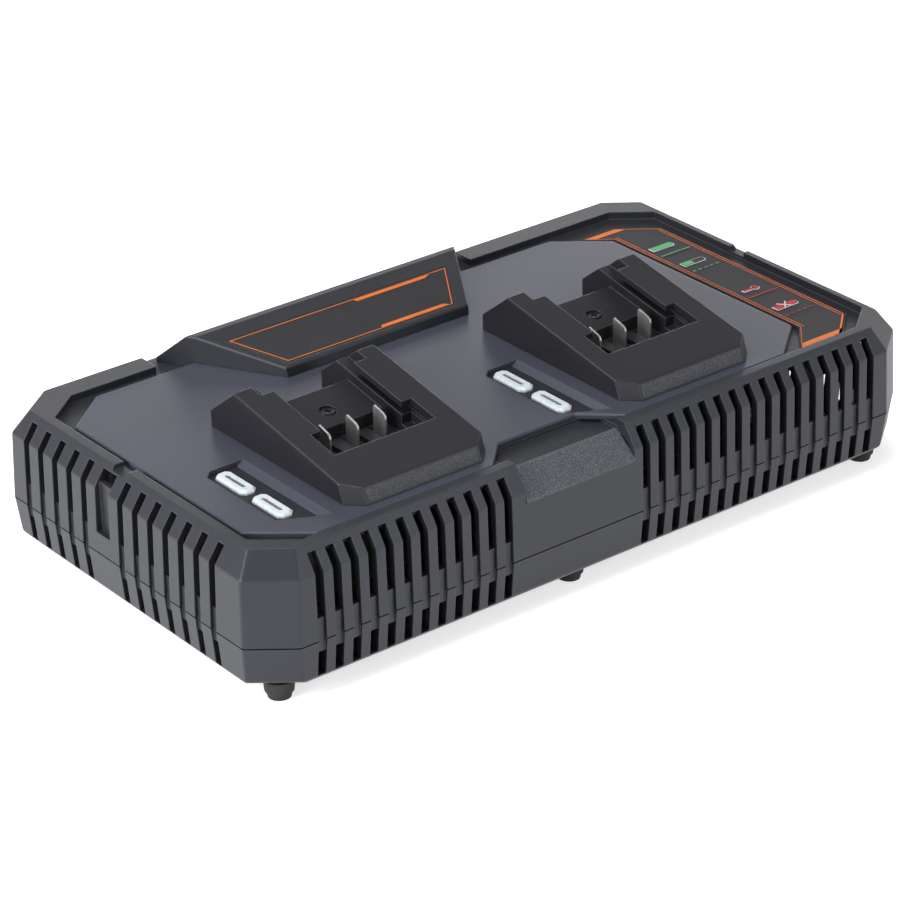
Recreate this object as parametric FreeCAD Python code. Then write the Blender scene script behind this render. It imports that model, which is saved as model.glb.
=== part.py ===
"""Twin bay battery charger: long slotted case, sloping slide-in bays, status strip.

Millimetres, +Z up, origin on the floor under the middle of the case.
X runs along the long side, -Y is the front, the bays open towards +Y.
"""
import FreeCAD, Part
import math
import os

V = FreeCAD.Vector

# Case envelope
HALF_LENGTH = 160.0
HALF_WIDTH = 88.6
CORNER_X = 16.3
CORNER_Y = 12.8
GROUND = 0.0
BASE_Z = 7.5
BASE_BEVEL_Z = 10.5
BASE_BEVEL = 3.6
BASE_TAPER = 1.5
SEAM_Z = 25.5
SHOULDER_Z = 52.6
SHOULDER_DRAFT = 0.7
RIM_Z = 61.7
RIM_INSET = 7.0
RIM_CORNER_X = 13.3
EDGE_ROUND = 2.0
WALL = 3.0
FLOOR = 2.5
CEILING_Z = 56.0
LEDGE_Z = 58.5
CROWN_INSET = 4.5
TONGUE = 1.5
TONGUE_RISE = 2.5
TONGUE_CLEARANCE = 0.1

# Recess inside the rim
RECESS_LEFT = -HALF_LENGTH + 11.0
RECESS_RIGHT = HALF_LENGTH - 9.5
RECESS_FRONT = -HALF_WIDTH + 10.8
RECESS_BACK = HALF_WIDTH - 17.1
RECESS_CUT_X = 15.0
RECESS_CUT_Y = 12.0
SIDE_NOTCH_Y = (4.0, 12.6)
BACK_GAP_X = (-95.0, 60.5)

# Ventilation ribs
SLOT_WIDTH = 3.8
SLOT_DEPTH = 8.2
SLOT_TOP_Z = 59.1
SLOT_LOWER_Z = (10.8, 20.5)
TAB_TOP_Z = 34.1
TAB_SINK = 0.6
TAB_CLEARANCE = 0.1
WIDE_CHANNEL_Y = (8.5, 17.5)
WIDE_CHANNEL_DEPTH = 2.2
WIDE_CHANNEL_Z = (34.0, 59.1)
RIB_PITCH = 7.75
SIDE_PITCH = 9.8
FRONT_END = 22.02
SIDE_FRONT_END = 25.75
SIDE_REAR_END = 19.2
PANEL_MARGIN = 1.5
INLET_MARGIN = 39.0
CHANNEL_MARGIN = 2.0

# Deck plate
DECK_Z = 60.5
DECK_LEFT = RECESS_LEFT + 2.6
DECK_RIGHT = RECESS_RIGHT - 31.1
DECK_BACK = RECESS_BACK - 4.3
DECK_FRONT = RECESS_FRONT + 2.2
DECK_CUT_X = 20.6
DECK_CUT_Y = 17.2
JOG_X = (-46.0, -33.2, 3.8, 18.0)
JOG_Y = DECK_FRONT + 12.7

# Battery bay, side profile in the Y-Z plane
BAY_WIDTH = 65.4
BAY_CENTRES = (-HALF_LENGTH + 86.25, HALF_LENGTH - 103.45)
BAY_FRONT_Y = DECK_FRONT + 4.3
BAY_BACK_Y = BAY_FRONT_Y + 88.8
BAY_BACK_Z = 67.4
RIDGE_Y = BAY_FRONT_Y + 73.3
RIDGE_Z = 79.8
BAY_SLOPE = 0.184
BAY_TOP_FRONT_Y = BAY_FRONT_Y + 2.7
BAY_CORNER_X = 6.3
BAY_CORNER_Y = 6.0
THROAT_HALF = 18.65
GROOVE_HALF = 24.4
LATCH_HALF = 23.2
LIP_THICKNESS = 2.5
GROOVE_HEIGHT = 3.0
FLOOR_DEPTH = 9.5
LIP_START_Y = RIDGE_Y - 6.0
FLOOR_START_Y = RIDGE_Y - 1.5
LATCH_Y = RIDGE_Y - 35.0
THROAT_END_Y = RIDGE_Y - 49.5
POCKET_Y = RIDGE_Y - 23.0
BAY_SCREW_Y = RIDGE_Y - 14.0
BAY_EDGE = 0.6

# Terminals
BLADE_PITCH = 12.8
BLADE_THICKNESS = 0.8
BLADE_Y = (POCKET_Y - 10.0, POCKET_Y - 2.6)
BLADE_TOP_Z = 70.6
BLADE_FOOT_Z = 46.5
BLADE_CLEARANCE = 0.05
BLOCK_TOP_Z = 59.5
BLOCK_BAR_Z = 62.0
BLOCK_CLEARANCE = 0.15

# Status windows beside each bay
LED_RECESS_DX = (-57.8, -39.2)
LED_RECESS_Y = (BAY_FRONT_Y + 3.3, BAY_FRONT_Y + 58.9)
LENS_DX = -51.0
LENS_WIDTH = 7.2
LENS_LENGTH = 19.0
LENS_Y = (BAY_FRONT_Y + 47.3, BAY_FRONT_Y + 24.3)
LENS_TOP_Z = 60.1
LENS_CORNER = 1.9
LENS_CLEARANCE = 0.05
LAMP_BOARD_T = 1.2
LAMP_BOARD_Y = (BAY_FRONT_Y + 13.3, BAY_FRONT_Y + 59.3)

# Badge block
BADGE_CENTRE = -15.9
BADGE_FRONT_Y = BAY_BACK_Y + 14.8
BADGE_BACK_Y = HALF_WIDTH - 8.1
BADGE_FRONT_HALF = 44.4
BADGE_BACK_HALF = 73.0
BADGE_CREST_Y = BADGE_BACK_Y - 14.7
BADGE_CREST_Z = 71.7
BADGE_LIP_Y = BADGE_FRONT_Y + 0.7
BADGE_LIP_Z = 64.5
LABEL_FRONT_Y = BADGE_FRONT_Y + 2.9
LABEL_BACK_Y = BADGE_CREST_Y - 7.2
LABEL_FRONT_HALF = 41.0
LABEL_BACK_HALF = 55.0
LABEL_THICKNESS = 0.5
LABEL_GAP = 0.15

# Status strip
STRIP_LEFT = DECK_RIGHT + 1.8
STRIP_RIGHT = RECESS_RIGHT - 6.3
STRIP_FRONT = DECK_FRONT - 0.3
STRIP_BACK = DECK_BACK - 6.8
STRIP_FRONT_CUT = (13.6, 12.5)
STRIP_BACK_CUT = (15.6, 12.4)
STRIP_FRONT_REACH = (13.8, 15.5)
STRIP_BACK_REACH = (12.6, 9.0)
STRIP_THICKNESS = 1.3

# Name panel, left bare
PANEL_X = (-40.5, 12.0)
PANEL_LOW = (-HALF_WIDTH + 0.3, 49.3)
PANEL_HIGH = (-HALF_WIDTH + 10.4, 57.7)
PANEL_THICKNESS = 2.0
NICHE_FLOOR_Z = 57.2

# Feet and fasteners
FOOT_X = (-HALF_LENGTH + 16.1, -8.6, HALF_LENGTH - 16.1)
FOOT_Y = HALF_WIDTH - 14.5
FOOT_BOTTOM_R = 4.4
FOOT_TOP_R = 6.0
FOOT_STEP_Z = 2.6
FOOT_STEP = 0.5
FOOT_STEM_RISE = 0.8
FOOT_STEM_R = 2.5
SCREW_X = (-HALF_LENGTH + 38.0, 22.0, HALF_LENGTH - 38.0)
SCREW_Y = HALF_WIDTH - 25.6
SCREW_R = 1.5
SCREW_HEAD_R = 2.9
SCREW_HEAD_H = 2.2
SCREW_LENGTH = 18.0
SCREW_BORE_TOP_Z = 45.0
BAY_POST_R = 3.4
BAY_POST_Z = 51.0
SCREW_SEAT_Z = 17.5
BORE_CLEARANCE = 0.08
HEAD_CLEARANCE = 0.4
BAY_SEAT_DROP = 2.4
BAY_SCREW_LENGTH = 14.0
BOARD_SCREW_LENGTH = 8.0
BOSS_R = 4.6

# Main board and what stands on it
BOARD_HALF_X = HALF_LENGTH - 44.0
BOARD_HALF_Y = HALF_WIDTH - 36.6
BOARD_Z = 17.5
BOARD_T = 1.6
STANDOFF_R = 3.6
STANDOFF_X = BOARD_HALF_X - 7.0
STANDOFF_Y = BOARD_HALF_Y - 7.0
CAPACITOR_X = (-58.0, -40.6)
CHOKE_X = -88.0
CHOKE_Y = BOARD_HALF_Y - 24.0
FUSE_X = -BOARD_HALF_X + 8.0
SINK_X = BOARD_HALF_X - 86.0

# Cooling fan
FAN_X = HALF_LENGTH - 34.0
FAN_SIZE = 40.0
FAN_DEPTH = 15.0
FAN_BORE_R = FAN_SIZE / 2.0 - 1.4
FAN_HUB_R = 9.0
FAN_BLADE_R = FAN_BORE_R - 0.7
FAN_HOLE_PLACE = FAN_SIZE / 2.0 - 4.0
FAN_HOLE_R = 1.7
FAN_BLADES = 7
FAN_SHAFT_R = 1.5
FAN_CLEARANCE = 0.05

# Mains inlet
INLET_X = -HALF_LENGTH + 56.0
INLET_Z = 38.5
INLET_W = 25.0
INLET_H = 15.0
INLET_DEPTH = 19.0
INLET_FLANGE = 2.5
INLET_PIN_R = 1.2
INLET_PIN_PITCH = 8.6
PIN_CLEARANCE = 0.05
INLET_SINK = 0.3
LEAD_R = 1.4


def poly(points, z0, z1):
    """Upright prism over a plan polygon."""
    wire = Part.makePolygon([V(x, y, z0) for x, y in points] + [V(points[0][0], points[0][1], z0)])
    return Part.Face(wire).extrude(V(0, 0, z1 - z0))


def side(profile, x0, x1):
    """Prism along X over a Y-Z profile."""
    wire = Part.makePolygon([V(x0, y, z) for y, z in profile] + [V(x0, profile[0][0], profile[0][1])])
    return Part.Face(wire).extrude(V(x1 - x0, 0, 0))


def box(x0, x1, y0, y1, z0, z1):
    """Box between two opposite corners."""
    return Part.makeBox(x1 - x0, y1 - y0, z1 - z0, V(x0, y0, z0))


def rod(r, x, y, z0, z1):
    """Upright cylinder."""
    return Part.makeCylinder(r, z1 - z0, V(x, y, z0))


def cut_rectangle(x0, x1, y0, y1, cx, cy):
    """Plan rectangle with cut corners."""
    return [(x0 + cx, y0), (x1 - cx, y0), (x1, y0 + cy), (x1, y1 - cy),
            (x1 - cx, y1), (x0 + cx, y1), (x0, y1 - cy), (x0, y0 + cy)]


def case_ring(inset, z, cx=CORNER_X, cy=CORNER_Y):
    """Plan outline of the case at one height, as points."""
    hx = HALF_LENGTH - inset
    hy = HALF_WIDTH - inset
    return [V(x, y, z) for x, y in cut_rectangle(-hx, hx, -hy, hy, cx, cy)]


def facet(points):
    """Plane face over a closed run of points."""
    return Part.Face(Part.makePolygon(points + [points[0]]))


def stacked(rings):
    """Solid with plane sides through outlines of matching corners."""
    faces = [facet(rings[0][::-1]), facet(rings[-1])]
    for low, high in zip(rings, rings[1:]):
        for i in range(len(low)):
            faces.append(facet([low[i - 1], low[i], high[i], high[i - 1]]))
    return Part.makeSolid(Part.makeShell(faces))


def softened(body, belt_z):
    """Rounds the upright corners and the belt edge where the sides change slope."""
    edges = [e for e in body.Edges if e.BoundBox.ZLength > 1.0]
    edges += [e for e in body.Edges if abs(e.BoundBox.ZMin - belt_z) < 0.01 and e.BoundBox.ZLength < 0.01]
    return body.makeFillet(EDGE_ROUND, edges)


def upper_body():
    """Solid envelope of the upper case with softened corners."""
    rings = [case_ring(0.0, SEAM_Z), case_ring(SHOULDER_DRAFT, SHOULDER_Z),
             case_ring(RIM_INSET, RIM_Z, RIM_CORNER_X, RIM_CORNER_X * CORNER_Y / CORNER_X)]
    return softened(stacked(rings), SHOULDER_Z)


def lower_body():
    """Solid envelope of the lower case with softened corners."""
    rings = [case_ring(BASE_TAPER + BASE_BEVEL, BASE_Z), case_ring(BASE_TAPER, BASE_BEVEL_Z),
             case_ring(0.0, SEAM_Z)]
    return softened(stacked(rings), BASE_BEVEL_Z)


def run_centres(last, limit, pitch):
    """Centres of all the slots that fit between an end and a limit below it."""
    return [last - pitch * (i + 0.5) for i in range(int((last - limit) / pitch))]


def front_slots():
    """X places of the front slots."""
    end = HALF_LENGTH - FRONT_END
    left = [-x for x in run_centres(end, PANEL_MARGIN - PANEL_X[0], RIB_PITCH)]
    return left + run_centres(end, PANEL_X[1] + PANEL_MARGIN, RIB_PITCH)


def side_slots():
    """Y places of the slots in either end."""
    y0, y1 = WIDE_CHANNEL_Y
    rear = run_centres(HALF_WIDTH - SIDE_REAR_END, y1 + CHANNEL_MARGIN, SIDE_PITCH)
    front = [-y for y in run_centres(HALF_WIDTH - SIDE_FRONT_END, CHANNEL_MARGIN - y0, SIDE_PITCH)]
    return rear + front


def slot_tools(width, sink, depth, z0, z1):
    """Boxes across the walls at every slot, from a sink under the surface to a depth."""
    tools = []
    half = width / 2.0
    for c in front_slots():
        tools.append(box(c - half, c + half, -HALF_WIDTH + sink, -HALF_WIDTH + depth, z0, z1))
    for c in run_centres(HALF_LENGTH - FRONT_END, INLET_X + INLET_MARGIN, RIB_PITCH):
        tools.append(box(c - half, c + half, HALF_WIDTH - depth, HALF_WIDTH - sink, z0, z1))
    for c in side_slots():
        tools.append(box(-HALF_LENGTH + sink, -HALF_LENGTH + depth, c - half, c + half, z0, z1))
        tools.append(box(HALF_LENGTH - depth, HALF_LENGTH - sink, c - half, c + half, z0, z1))
    return tools


def wide_channels():
    """Broad shallow channel in the middle of either end."""
    y0, y1 = WIDE_CHANNEL_Y
    z0, z1 = WIDE_CHANNEL_Z
    reach = HALF_LENGTH - RIM_INSET - WIDE_CHANNEL_DEPTH
    return [box(-HALF_LENGTH - 1, -HALF_LENGTH + WIDE_CHANNEL_DEPTH + SHOULDER_DRAFT, y0, y1, z0, z1),
            box(HALF_LENGTH - WIDE_CHANNEL_DEPTH - SHOULDER_DRAFT, HALF_LENGTH + 1, y0, y1, z0, z1),
            box(-HALF_LENGTH - 1, -reach, y0, y1, SHOULDER_Z + 1.5, z1),
            box(reach, HALF_LENGTH + 1, y0, y1, SHOULDER_Z + 1.5, z1)]


def case_screw_places():
    """Plan positions of the case screws."""
    return [(x, sy * SCREW_Y) for x in SCREW_X for sy in (-1, 1)]


def foot_places():
    """Plan positions of the feet."""
    return [(x, sy * FOOT_Y) for x in FOOT_X for sy in (-1, 1)]


def standoff_places():
    """Plan positions of the board standoffs."""
    return [(sx * STANDOFF_X, sy * STANDOFF_Y) for sx in (-1, 1) for sy in (-1, 1)]


def lens_outline(cx, cy, grow=0.0):
    """Plan outline of one status window."""
    hw = LENS_WIDTH / 2.0 + grow
    hl = LENS_LENGTH / 2.0 + grow
    return cut_rectangle(cx - hw, cx + hw, cy - hl, cy + hl, LENS_CORNER, LENS_CORNER)


def lens_places(centre):
    """Plan centres of the status windows of one bay."""
    return [(centre + LENS_DX, y) for y in LENS_Y]


def build_upper_shell():
    """Upper case half with rim, recess, ribs, slots and screw posts."""
    cavity = stacked([case_ring(WALL, SEAM_Z - 0.1), case_ring(WALL + SHOULDER_DRAFT, SHOULDER_Z),
                      case_ring(WALL + CROWN_INSET, CEILING_Z)])
    shell = upper_body().cut(cavity)
    recess = cut_rectangle(RECESS_LEFT, RECESS_RIGHT, RECESS_FRONT, RECESS_BACK, RECESS_CUT_X, RECESS_CUT_Y)
    cuts = [poly(recess, LEDGE_Z, RIM_Z + 1)]
    n0, n1 = SIDE_NOTCH_Y
    cuts.append(box(-HALF_LENGTH, RECESS_LEFT + 1, n0, n1, RIM_Z - 2.0, RIM_Z + 1))
    cuts.append(box(RECESS_RIGHT - 1, HALF_LENGTH, n0, n1, RIM_Z - 2.0, RIM_Z + 1))
    g0, g1 = BACK_GAP_X
    cuts.append(box(g0, g1, RECESS_BACK - 1, HALF_WIDTH, LEDGE_Z, RIM_Z + 1))
    cuts.append(box(PANEL_X[0], PANEL_X[1], PANEL_HIGH[0], JOG_Y - 0.6, NICHE_FLOOR_Z, RIM_Z + 1))
    cuts.append(panel_body(0.0, RIM_Z + 2, -HALF_WIDTH - 2))
    for centre in BAY_CENTRES:
        half = THROAT_HALF
        cuts.append(box(centre - half, centre + half, THROAT_END_Y, POCKET_Y, CEILING_Z - 1, LEDGE_Z + 1))
        cuts.append(rod(SCREW_R + BORE_CLEARANCE, centre, BAY_SCREW_Y, BAY_POST_Z - 1, LEDGE_Z + 1))
        for cx, cy in lens_places(centre):
            cuts.append(poly(lens_outline(cx, cy, LENS_CLEARANCE), CEILING_Z - 1, LEDGE_Z + 1))
    cuts += slot_tools(SLOT_WIDTH, -1.0, SLOT_DEPTH, SEAM_Z - 1, SLOT_TOP_Z)
    cuts += wide_channels()
    posts = [rod(BOSS_R - 0.4, x, y, SEAM_Z, CEILING_Z + 0.5) for x, y in case_screw_places()]
    posts += [rod(BAY_POST_R, c, BAY_SCREW_Y, BAY_POST_Z, CEILING_Z + 0.5) for c in BAY_CENTRES]
    shell = shell.fuse(posts)
    for x, y in case_screw_places():
        cuts.append(rod(SCREW_R + BORE_CLEARANCE, x, y, SEAM_Z - 1, SCREW_BORE_TOP_Z))
    w = INLET_W / 2.0
    h = INLET_H / 2.0
    cuts.append(box(INLET_X - w, INLET_X + w, RECESS_BACK, HALF_WIDTH + 2, INLET_Z - h, INLET_Z + h))
    return shell.cut(Part.Compound(cuts)).removeSplitter()


def build_lower_shell():
    """Lower case half with tongue, bosses, standoffs and foot sockets."""
    cavity = stacked([case_ring(WALL + BASE_TAPER + BASE_BEVEL, BASE_Z + FLOOR),
                      case_ring(WALL + BASE_TAPER, BASE_BEVEL_Z + 2), case_ring(WALL, SEAM_Z + 0.1)])
    shell = lower_body().cut(cavity)
    lip = WALL + TONGUE_CLEARANCE
    outer = stacked([case_ring(WALL - 0.6, SEAM_Z - 3), case_ring(lip, SEAM_Z - 0.2),
                     case_ring(lip + 0.1, SEAM_Z + TONGUE_RISE)])
    inner = stacked([case_ring(lip + TONGUE, SEAM_Z - 4), case_ring(lip + TONGUE, SEAM_Z + TONGUE_RISE + 1)])
    add = [outer.cut(inner)]
    tabs = slot_tools(SLOT_WIDTH - 2 * TAB_CLEARANCE, TAB_SINK + SHOULDER_DRAFT, WALL + TONGUE,
                      SLOT_LOWER_Z[1], TAB_TOP_Z)
    add += tabs
    add += [rod(BOSS_R, x, y, BASE_Z + 1, SEAM_Z) for x, y in case_screw_places()]
    add += [rod(STANDOFF_R, x, y, BASE_Z + 1, BOARD_Z) for x, y in standoff_places()]
    shell = shell.fuse(add)
    cuts = slot_tools(SLOT_WIDTH, -1.0, SLOT_DEPTH, SLOT_LOWER_Z[0], SLOT_LOWER_Z[1])
    cuts += slot_tools(SLOT_WIDTH, -1.0, TAB_SINK + SHOULDER_DRAFT, SLOT_LOWER_Z[1] - 0.1, SEAM_Z + 1)
    for x, y in case_screw_places():
        cuts.append(rod(SCREW_R + BORE_CLEARANCE, x, y, BASE_Z - 1, SEAM_Z + 1))
        cuts.append(rod(SCREW_HEAD_R + HEAD_CLEARANCE, x, y, BASE_Z - 1, SCREW_SEAT_Z))
    cuts += [rod(SCREW_R + BORE_CLEARANCE, x, y, BOARD_Z - 8, BOARD_Z + 1) for x, y in standoff_places()]
    cuts += [rod(FOOT_STEM_R + 0.05, x, y, BASE_Z - 1, BASE_Z + FLOOR + 1) for x, y in foot_places()]
    return shell.cut(Part.Compound(cuts)).removeSplitter()


def build_deck_plate():
    """Smooth deck plate with jog, bay openings and status window recesses."""
    x0, x1 = DECK_LEFT, DECK_RIGHT
    outline = [(x0 + DECK_CUT_X, DECK_FRONT), (JOG_X[0], DECK_FRONT), (JOG_X[1], JOG_Y), (JOG_X[2], JOG_Y),
               (JOG_X[3], DECK_FRONT), (x1 - DECK_CUT_X, DECK_FRONT), (x1, DECK_FRONT + DECK_CUT_Y),
               (x1, DECK_BACK - DECK_CUT_Y), (x1 - DECK_CUT_X, DECK_BACK), (x0 + DECK_CUT_X, DECK_BACK),
               (x0, DECK_BACK - DECK_CUT_Y), (x0, DECK_FRONT + DECK_CUT_Y)]
    plate = poly(outline, LEDGE_Z, DECK_Z)
    top = [e for e in plate.Edges if e.BoundBox.ZMin > DECK_Z - 0.01]
    plate = plate.makeChamfer(0.5, top)
    cuts = []
    y0, y1 = LED_RECESS_Y
    for centre in BAY_CENTRES:
        half = THROAT_HALF
        cuts.append(box(centre - half, centre + half, THROAT_END_Y, POCKET_Y, LEDGE_Z - 1, DECK_Z + 1))
        cuts.append(rod(SCREW_R + BORE_CLEARANCE, centre, BAY_SCREW_Y, LEDGE_Z - 1, DECK_Z + 1))
        a = centre + LED_RECESS_DX[0]
        b = centre + LED_RECESS_DX[1]
        plan = [(a, y1 - 3.6), (a + 3.6, y1), (b, y1), (b, y0), (b - 7.6, y0 + 3.6), (a, y0 + 9.6)]
        trough = [(a - 1, LEDGE_Z - 1), (b - 3.2, LEDGE_Z - 1), (b - 3.2, LEDGE_Z),
                  (b + 1.6, DECK_Z + 1), (a - 1, DECK_Z + 1)]
        wire = Part.makePolygon([V(x, y0 - 1, z) for x, z in trough + trough[:1]])
        sloped = Part.Face(wire).extrude(V(0, y1 - y0 + 2, 0))
        cuts.append(poly(plan, LEDGE_Z - 1, DECK_Z + 1).common(sloped))
    return plate.cut(Part.Compound(cuts))


def bay_top(y):
    """Height of the sloping bay top."""
    return RIDGE_Z + BAY_SLOPE * (y - RIDGE_Y)


def bay_screw_seat():
    """Height of the seat under the bay screw's head."""
    return bay_top(BAY_SCREW_Y) - FLOOR_DEPTH - BAY_SEAT_DROP


def slanted(x0, x1, y0, y1, deep, shallow):
    """Prism parallel to the bay top between two depths below it."""
    return side([(y0, bay_top(y0) - deep), (y1, bay_top(y1) - deep),
                 (y1, bay_top(y1) - shallow), (y0, bay_top(y0) - shallow)], x0, x1)


def build_bay(centre):
    """Sloping bay with lipped rails, undercut grooves, latch windows and terminal pocket."""
    half = BAY_WIDTH / 2.0
    profile = [(BAY_FRONT_Y, DECK_Z), (BAY_BACK_Y, DECK_Z), (BAY_BACK_Y, BAY_BACK_Z), (RIDGE_Y, RIDGE_Z),
               (BAY_TOP_FRONT_Y, bay_top(BAY_TOP_FRONT_Y))]
    body = side(profile, -half, half)
    plan = [(-half + BAY_CORNER_X, BAY_FRONT_Y), (half - BAY_CORNER_X, BAY_FRONT_Y),
            (half, BAY_FRONT_Y + BAY_CORNER_Y), (half, BAY_BACK_Y), (-half, BAY_BACK_Y),
            (-half, BAY_FRONT_Y + BAY_CORNER_Y)]
    low = Part.makePolygon([V(x, y, DECK_Z) for x, y in plan + plan[:1]])
    lid = RIDGE_Z + 0.2
    lean = (BAY_TOP_FRONT_Y - BAY_FRONT_Y) * 3.0
    high_plan = [(x, y + lean if y < POCKET_Y else y) for x, y in plan]
    high = Part.makePolygon([V(x, y, lid) for x, y in high_plan + high_plan[:1]])
    body = body.common(Part.makeLoft([low, high], True, True))
    outer = [e for e in body.Edges if e.BoundBox.ZMin > DECK_Z + 0.5]
    body = body.makeFillet(BAY_EDGE, outer)
    above = -9.0
    past = BAY_BACK_Y + 1.0
    roof = RIDGE_Z + 1.0
    ledge = LIP_THICKNESS + GROOVE_HEIGHT
    cuts = [slanted(-THROAT_HALF, THROAT_HALF, THROAT_END_Y, past, FLOOR_DEPTH, above),
            slanted(-GROOVE_HALF, GROOVE_HALF, THROAT_END_Y, past, ledge, LIP_THICKNESS),
            slanted(-GROOVE_HALF, GROOVE_HALF, LIP_START_Y, past, ledge, above),
            slanted(-LATCH_HALF, LATCH_HALF, THROAT_END_Y, LATCH_Y, FLOOR_DEPTH, above),
            box(-THROAT_HALF, THROAT_HALF, FLOOR_START_Y, past, DECK_Z - 1, roof),
            box(-THROAT_HALF, THROAT_HALF, THROAT_END_Y, POCKET_Y, DECK_Z - 1, roof),
            rod(SCREW_HEAD_R + HEAD_CLEARANCE, 0, BAY_SCREW_Y, bay_screw_seat(), roof),
            rod(SCREW_R + BORE_CLEARANCE, 0, BAY_SCREW_Y, DECK_Z - 1, roof)]
    body = body.cut(Part.Compound(cuts))
    body.translate(V(centre, 0, 0))
    return body


def build_terminal_block(centre):
    """Moulded holder under the bay pocket, with bars between the blades."""
    half = THROAT_HALF - BLOCK_CLEARANCE
    y0 = THROAT_END_Y + BLOCK_CLEARANCE
    y1 = POCKET_Y - BLOCK_CLEARANCE
    block = box(-half, half, y0, y1, CEILING_Z - 2, BLOCK_TOP_Z)
    add = [box(-half - 3.4, half + 3.4, y0 - 3, y1 + 3, CEILING_Z - 2.4, CEILING_Z)]
    for dx in (-0.5, 0.5):
        c = dx * BLADE_PITCH
        add.append(box(c - 2.6, c + 2.6, y0, y1 - 3, BLOCK_TOP_Z - 1, BLOCK_BAR_Z))
    block = block.fuse(add)
    gap = BLADE_THICKNESS / 2.0 + BLADE_CLEARANCE
    cuts = []
    for i in (-1, 0, 1):
        c = i * BLADE_PITCH
        cuts.append(box(c - gap, c + gap, BLADE_Y[0] - BLADE_CLEARANCE, BLADE_Y[1] + BLADE_CLEARANCE,
                        BLADE_FOOT_Z, BLADE_TOP_Z))
        cuts.append(box(c - 1.9, c + 1.9, y0 + 2, BLADE_Y[0] - 1.6, BLOCK_TOP_Z - 4, BLADE_TOP_Z))
    block = block.cut(Part.Compound(cuts)).removeSplitter()
    block.translate(V(centre, 0, 0))
    return block


def build_blades(centre):
    """Three upright contact blades with a rounded front crest."""
    y0, y1 = BLADE_Y
    drop = BAY_SLOPE * (y1 - y0) * 1.4
    profile = [(y0, BLADE_FOOT_Z), (y1, BLADE_FOOT_Z), (y1, BLADE_TOP_Z - 0.6), (y1 - 0.6, BLADE_TOP_Z),
               (y0 + 1.5, BLADE_TOP_Z - drop + 0.4), (y0 + 0.4, BLADE_TOP_Z - drop - 0.4),
               (y0, BLADE_TOP_Z - drop - 1.6)]
    blades = []
    for i in (-1, 0, 1):
        c = centre + i * BLADE_PITCH
        blades.append(side(profile, c - BLADE_THICKNESS / 2.0, c + BLADE_THICKNESS / 2.0))
    return Part.Compound(blades)


def build_lenses(centre):
    """Two chamfered status windows with a pocket for the lamp below."""
    lenses = []
    for cx, cy in lens_places(centre):
        lens = poly(lens_outline(cx, cy), CEILING_Z, LENS_TOP_Z)
        top = [e for e in lens.Edges if e.BoundBox.ZMin > LENS_TOP_Z - 0.01]
        lens = lens.makeChamfer(0.9, top)
        groove = cut_rectangle(cx - 0.9, cx + 0.9, cy - 6.0, cy + 6.0, 0.6, 0.6)
        lens = lens.cut(poly(groove, LENS_TOP_Z - 0.5, LENS_TOP_Z + 1))
        lens = lens.cut(box(cx - 1.5, cx + 1.5, cy - 3.0, cy + 3.0, CEILING_Z - 1, CEILING_Z + 1.4))
        lenses.append(lens)
    return Part.Compound(lenses)


def build_lamp_board(centre):
    """Small board under the two status windows."""
    x = centre + LENS_DX
    y0, y1 = LAMP_BOARD_Y
    return box(x - 6.0, x + 6.0, y0, y1, CEILING_Z - LAMP_BOARD_T, CEILING_Z)


def build_lamps():
    """Four lamp chips, two under each pair of windows."""
    lamps = []
    for centre in BAY_CENTRES:
        for cx, cy in lens_places(centre):
            lamps.append(box(cx - 1.0, cx + 1.0, cy - 1.4, cy + 1.4, CEILING_Z, CEILING_Z + 0.9))
    return Part.Compound(lamps)


def badge_plane(y):
    """Height of the inclined badge face."""
    rise = (BADGE_CREST_Z - BADGE_LIP_Z) / (BADGE_CREST_Y - BADGE_LIP_Y)
    return BADGE_LIP_Z + rise * (y - BADGE_LIP_Y)


def label_plan():
    """Plan outline of the badge label."""
    c = BADGE_CENTRE - 0.8
    return [(c - LABEL_FRONT_HALF, LABEL_FRONT_Y), (c + LABEL_FRONT_HALF, LABEL_FRONT_Y),
            (c + LABEL_BACK_HALF, LABEL_BACK_Y), (c - LABEL_BACK_HALF, LABEL_BACK_Y)]


def badge_slab(low, high):
    """Slab parallel to the badge face between two offsets."""
    y0, y1 = BADGE_FRONT_Y, BADGE_CREST_Y
    reach = BADGE_BACK_HALF + 1
    return side([(y0, badge_plane(y0) + low), (y1, badge_plane(y1) + low),
                 (y1, badge_plane(y1) + high), (y0, badge_plane(y0) + high)],
                BADGE_CENTRE - reach, BADGE_CENTRE + reach)


def build_badge_block():
    """Raised wedge on the back edge that carries the label."""
    step = DECK_BACK + 0.3
    profile = [(BADGE_FRONT_Y, DECK_Z), (step, DECK_Z), (step, LEDGE_Z), (BADGE_BACK_Y, LEDGE_Z),
               (BADGE_BACK_Y, LEDGE_Z + 2.0), (BADGE_CREST_Y + 3.0, BADGE_CREST_Z),
               (BADGE_CREST_Y, BADGE_CREST_Z), (BADGE_LIP_Y, BADGE_LIP_Z)]
    c = BADGE_CENTRE
    plan = [(c - BADGE_FRONT_HALF, BADGE_FRONT_Y), (c + BADGE_FRONT_HALF, BADGE_FRONT_Y),
            (c + BADGE_BACK_HALF, BADGE_BACK_Y), (c - BADGE_BACK_HALF, BADGE_BACK_Y)]
    reach = BADGE_BACK_HALF + 1
    block = side(profile, c - reach, c + reach).common(poly(plan, LEDGE_Z, RIDGE_Z))
    edges = [e for e in block.Edges if e.BoundBox.ZMin > DECK_Z + 1.5]
    block = block.makeFillet(0.8, edges)
    return block.cut(poly(label_plan(), LEDGE_Z, RIDGE_Z).common(badge_slab(-0.6, 3.0)))


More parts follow.
